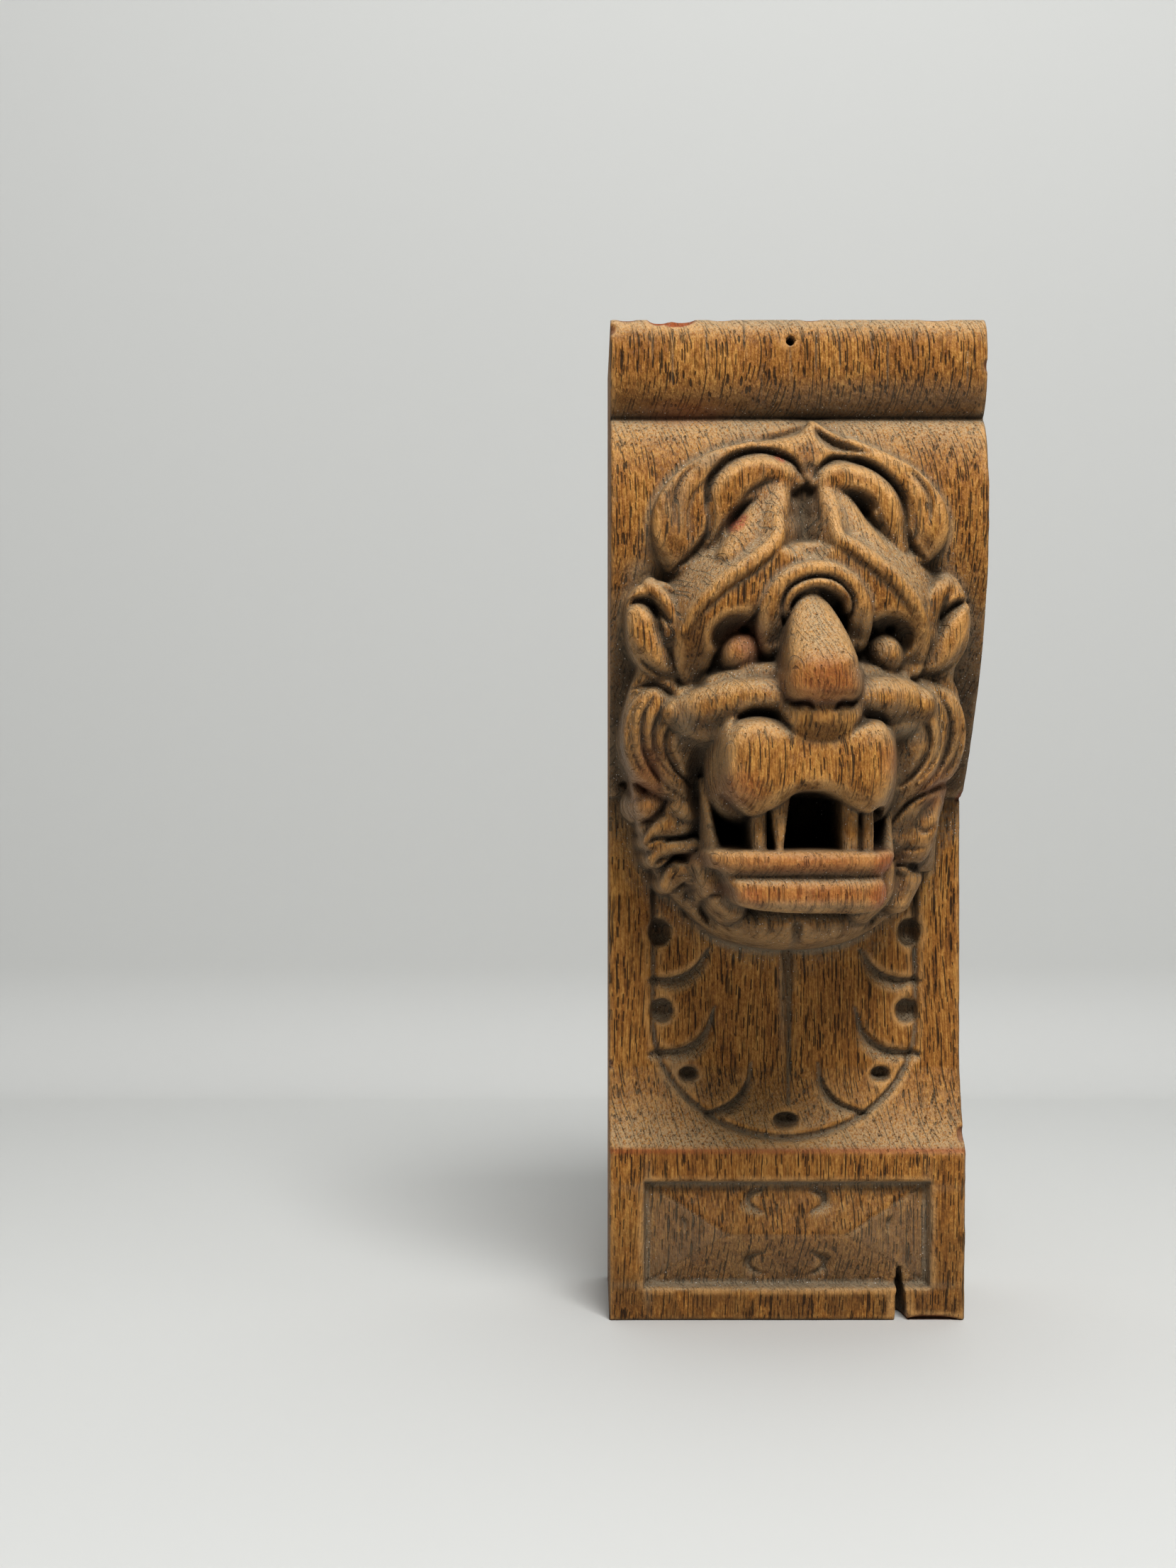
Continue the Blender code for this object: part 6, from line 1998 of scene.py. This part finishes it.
    def lines(self, bench: NodeBench, grain: Socket, crowd: Pair, size: Pair, bare: float) -> Socket:
        """Thin upright dark lines, one in most cells of a grid that is seen through the whole depth.

        Args:
            bench: The material's nodes.
            grain: Places in the swaying grain.
            crowd: Cells for each millimetre, across and up.
            size: Half the width and half the length of a line, in cells.
            bare: Share of the cells without a line.

        Returns:
            Where the lines lie.
        """
        across = bench.vector("DOT_PRODUCT", grain, (crowd[0], 0.6 * crowd[0], 0.0))
        up = bench.vector("DOT_PRODUCT", grain, (0.0, 0.0, crowd[1]))
        cell = bench.add("ShaderNodeCombineXYZ")
        bench.feed(cell.inputs["X"], across)
        bench.feed(cell.inputs["Y"], up)
        spread = bench.cells(cell.outputs["Vector"])
        away = bench.vector("SUBTRACT", cell.outputs["Vector"], spread.outputs["Position"])
        aside = bench.math("ABSOLUTE", bench.vector("DOT_PRODUCT", away, (1.0, 0.0, 0.0)))
        along = bench.math("ABSOLUTE", bench.vector("DOT_PRODUCT", away, (0.0, 1.0, 0.0)))
        narrow = bench.step(aside, size[0], 0.6 * size[0])
        line = bench.times(narrow, bench.step(along, size[1], 0.7 * size[1]))
        drawn = bench.step(bench.first(spread.outputs["Color"]), bare, bare + 0.2)
        return bench.times(line, drawn)

    def age(self, bench: NodeBench, colour: Socket, place: Socket) -> tuple[Socket, ...]:
        """What use and time have done to the colour.

        Args:
            bench: The material's nodes.
            colour: The wood's colour.
            place: Places on the block.

        Returns:
            The colour, then how much grime with painted shade, dusty film with painted shade on the panel,
            rubbing with painted highlight and wax specks there are.
        """
        hollow, rubbed_and_highlight = bench.trace(Trace.HOLLOW), bench.trace(Trace.RUBBED_AND_HIGHLIGHT)
        mottle = bench.noise(place, self.mottle_scale, 4.0, 0.65)
        fleck = bench.noise(place, self.speckle_scale, 3.0, 0.7)
        normal = bench.add("ShaderNodeNewGeometry").outputs["Normal"]
        up = bench.vector("DOT_PRODUCT", normal, (0.0, 0.0, 1.0))
        # Painted light: faces turned up are paled, partly as dusty tops and partly as painted top light.
        end = bench.times(bench.step(up, 0.05, 0.75), bench.step(fleck, 0.34, 0.58))
        colour = bench.blend(bench.times(end, 0.9), colour, self.pale_dust_and_top_light)
        # Painted shade: faces turned down are darkened, partly as grime and partly as painted shade under
        # them.
        under = bench.times(bench.step(up, -0.05, -0.55), 0.6)
        height = bench.vector("DOT_PRODUCT", place, (0.0, 0.0, 1.0))
        # The block is darker towards its foot, in mottled patches.
        foot = bench.times(bench.step(height, -92.0, -130.0), bench.step(mottle, 0.25, 0.55))
        underside_grime_shade_and_dark_foot = bench.larger(under, bench.times(foot, 0.5))
        colour = bench.blend(underside_grime_shade_and_dark_foot, colour, self.underside_grime_shade_and_dark_foot)
        # Painted highlight: proud spots are lightened, partly as worn wood and partly as painted highlight.
        rubbed_and_highlight = bench.times(rubbed_and_highlight, bench.step(mottle, 0.30, 0.60))
        colour = bench.blend(bench.times(rubbed_and_highlight, 0.6), colour, self.rub_and_highlight)
        near = bench.plus(hollow, bench.times(bench.minus(mottle, 0.5), 0.4))
        film = bench.times(bench.step(near, 0.20, 0.50), bench.step(fleck, 0.32, 0.60))
        film = bench.larger(film, bench.times(bench.trace(Trace.GROOVED), 0.9))
        # Dusty spots, which on the panel's ends and lower face are also painted shade.
        spots = bench.times(bench.trace(Trace.DUSTY_AND_PANEL_SHADE), bench.step(fleck, 0.25, 0.50))
        filled = bench.times(bench.trace(Trace.GROOVED), bench.step(height, -20.0, -34.0))
        filled = bench.times(filled, bench.step(fleck, 0.28, 0.50))
        spots = bench.larger(spots, filled)
        dust_and_panel_shade = bench.larger(bench.times(film, 0.7), spots, clamp=True)
        colour = bench.blend(bench.times(dust_and_panel_shade, 0.75), colour, self.dust_and_panel_shade)
        # Painted shade: the enclosed hollows darken towards the grime colour, partly as grime and partly as
        # the shade that falls in them.
        grime_and_hollow_shade = bench.times(bench.step(near, 0.32, 0.95), bench.minus(1.0, filled))
        colour = bench.blend(bench.times(grime_and_hollow_shade, 0.9), colour, self.grime_and_hollow_shade)
        raw = bench.times(bench.trace(Trace.RAW), bench.step(fleck, 0.3, 0.5))
        colour = bench.blend(raw, colour, self.raw)
        paint = bench.times(bench.trace(Trace.PAINT), bench.step(fleck, 0.42, 0.56))
        colour = bench.blend(bench.times(paint, 0.85), colour, self.paint)
        grains = bench.cells(bench.scaled(place, self.wax_scale))
        few = bench.math("GREATER_THAN", bench.first(grains.outputs["Color"]), 0.86)
        speck = bench.times(bench.step(grains.outputs["Distance"], 0.24, 0.14), few)
        speck = bench.times(speck, bench.step(hollow, 0.24, 0.42))
        return bench.blend(speck, colour, self.wax_speck), grime_and_hollow_shade, dust_and_panel_shade, rubbed_and_highlight, speck

    def surface(
        self, bench: NodeBench, pores: Socket, fibres: Socket, place: Socket, grime_and_hollow_shade: Socket
    ) -> None:
        """The fine relief of pores, fibres and grit.

        Args:
            bench: The material's nodes.
            pores: Where pores lie.
            fibres: Where fibres stand proud.
            place: Places on the block.
            grime_and_hollow_shade: Where grime lies, with the painted shade of the hollows.
        """
        grit = bench.noise(place, self.grit_scale, 3.0, 0.7)
        cuts = bench.noise(place, self.cut_scale, 2.0, 0.6)
        height = bench.plus(bench.times(fibres, 0.5), bench.times(cuts, 1.3))
        height = bench.minus(height, bench.times(pores, 0.8))
        height = bench.plus(height, bench.times(grit, bench.plus(0.35, grime_and_hollow_shade)))
        bump = bench.add("ShaderNodeBump")
        bump.inputs["Strength"].default_value = 1.0
        bump.inputs["Distance"].default_value = self.bump_depth
        bench.feed(bump.inputs["Height"], height)
        bench.feed(bench.shader.inputs["Normal"], bump.outputs["Normal"])
        bench.shader.inputs["Specular IOR Level"].default_value = self.specular


@dataclass(frozen=True)
class PaleSweep:
    """The matt paper that floor and wall are one sheet of."""

    colour: Colour = (0.66, 0.665, 0.65)
    shade: float = 0.97
    cloud_scale: Axes = (2.0, 2.0, 2.0)
    roughness: float = 0.75

    def make(self) -> bpy.types.Material:
        """Lays out the finish.

        Returns:
            The material.
        """
        bench = NodeBench("pale_paper")
        coordinates = bench.add("ShaderNodeTexCoord").outputs["Object"]
        cloud = bench.noise(coordinates, self.cloud_scale, 2.0)
        dimmer = tuple(self.shade * c for c in self.colour)
        bench.feed(bench.shader.inputs["Base Color"], bench.blend(cloud, self.colour, dimmer))
        bench.shader.inputs["Roughness"].default_value = self.roughness
        return bench.material


@dataclass
class Studio:
    """The sweep, the lights and the camera around the corbel."""

    foot: float = -0.1375
    front: float = -1.6
    half_width: float = 1.8
    bend_start: float = 0.37
    bend_radius: float = 0.06
    bend_steps: int = 24
    wall_top: float = 1.8
    camera_place: tuple[float, float, float] = (-0.056, -0.668, 0.0135)
    lens: float = 50.0
    sensor: float = 36.0
    room_colour: Colour = (0.93, 0.96, 1.0)
    room_strength: float = 0.05
    view_gamma: float = 0.85
    lamps: tuple[tuple[str, tuple[float, ...], tuple[float, ...], float, float], ...] = (
        ("key_softbox", (0.18, -0.92, 1.12), (0.0, -0.06, 0.0), 0.55, 21.5),
        ("left_softbox", (-1.10, -0.75, 0.45), (0.0, -0.04, 0.0), 0.80, 0.7),
        ("top_softbox", (0.05, -0.25, 1.40), (0.0, -0.05, 0.0), 1.2, 6.0),
    )

    def sweep(self, finish: bpy.types.Material) -> bpy.types.Object:
        """A floor that bends up into a wall.

        Args:
            finish: The paper's finish.

        Returns:
            The sweep's object.
        """
        profile = [(self.front, self.foot), (self.bend_start, self.foot)]
        for i in range(1, self.bend_steps + 1):
            turn = 0.5 * math.pi * i / self.bend_steps
            profile.append((
                self.bend_start + self.bend_radius * math.sin(turn),
                self.foot + self.bend_radius * (1.0 - math.cos(turn)),
            ))
        profile.append((profile[-1][0], self.wall_top))
        bm = bmesh.new()
        line = [bm.verts.new((-self.half_width, y, z)) for y, z in profile]
        edges = [bm.edges.new(pair) for pair in zip(line, line[1:])]
        grown = bmesh.ops.extrude_edge_only(bm, edges=edges)["geom"]
        moved = [item for item in grown if isinstance(item, bmesh.types.BMVert)]
        bmesh.ops.translate(bm, verts=moved, vec=(2.0 * self.half_width, 0.0, 0.0))
        bmesh.ops.recalc_face_normals(bm, faces=bm.faces)
        for face in bm.faces:
            face.smooth = True
        if sum(face.normal.z for face in bm.faces) < 0.0:
            bmesh.ops.reverse_faces(bm, faces=bm.faces)
        mesh = bpy.data.meshes.new("paper_sweep")
        bm.to_mesh(mesh)
        bm.free()
        mesh.materials.append(finish)
        made = bpy.data.objects.new("paper_sweep", mesh)
        bpy.context.scene.collection.objects.link(made)
        return made

    def light(self) -> None:
        """Soft lamps and a little light from all round."""
        for name, place, aim, size, power in self.lamps:
            lamp = bpy.data.lights.new(name, "AREA")
            lamp.shape = "SQUARE"
            lamp.size = size
            lamp.energy = power
            holder = bpy.data.objects.new(name, lamp)
            holder.location = place
            direction = Vector(aim) - Vector(place)
            holder.rotation_euler = direction.to_track_quat("-Z", "Y").to_euler()
            bpy.context.scene.collection.objects.link(holder)
        bpy.context.scene.view_settings.view_transform = "Standard"
        bpy.context.scene.view_settings.gamma = self.view_gamma
        world = bpy.data.worlds.new("soft_room")
        world.use_nodes = True
        sky = world.node_tree.nodes["Background"]
        sky.inputs["Color"].default_value = (*self.room_colour, 1.0)
        sky.inputs["Strength"].default_value = self.room_strength
        bpy.context.scene.world = world

    def aim_camera(self) -> None:
        """The camera, level and square to the wall face."""
        camera = bpy.data.cameras.new("camera")
        camera.lens = self.lens
        camera.sensor_width = self.sensor
        camera.sensor_fit = "AUTO"
        camera.clip_start = 0.01
        holder = bpy.data.objects.new("camera", camera)
        holder.location = self.camera_place
        holder.rotation_euler = (math.radians(90.0), 0.0, 0.0)
        bpy.context.scene.collection.objects.link(holder)
        bpy.context.scene.camera = holder


def main() -> None:
    """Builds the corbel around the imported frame, then the studio."""
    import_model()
    studio = Studio()
    studio.aim_camera()
    corbel = Corbel().build(OldOak().make())
    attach(corbel, "root")
    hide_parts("corbel")
    LOG.info("%s: %d faces", corbel.name, len(corbel.data.polygons))
    sweep = studio.sweep(PaleSweep().make())
    studio.light()


if __name__ == "__main__":
    logging.basicConfig(level=logging.INFO, format="%(message)s")
    main()
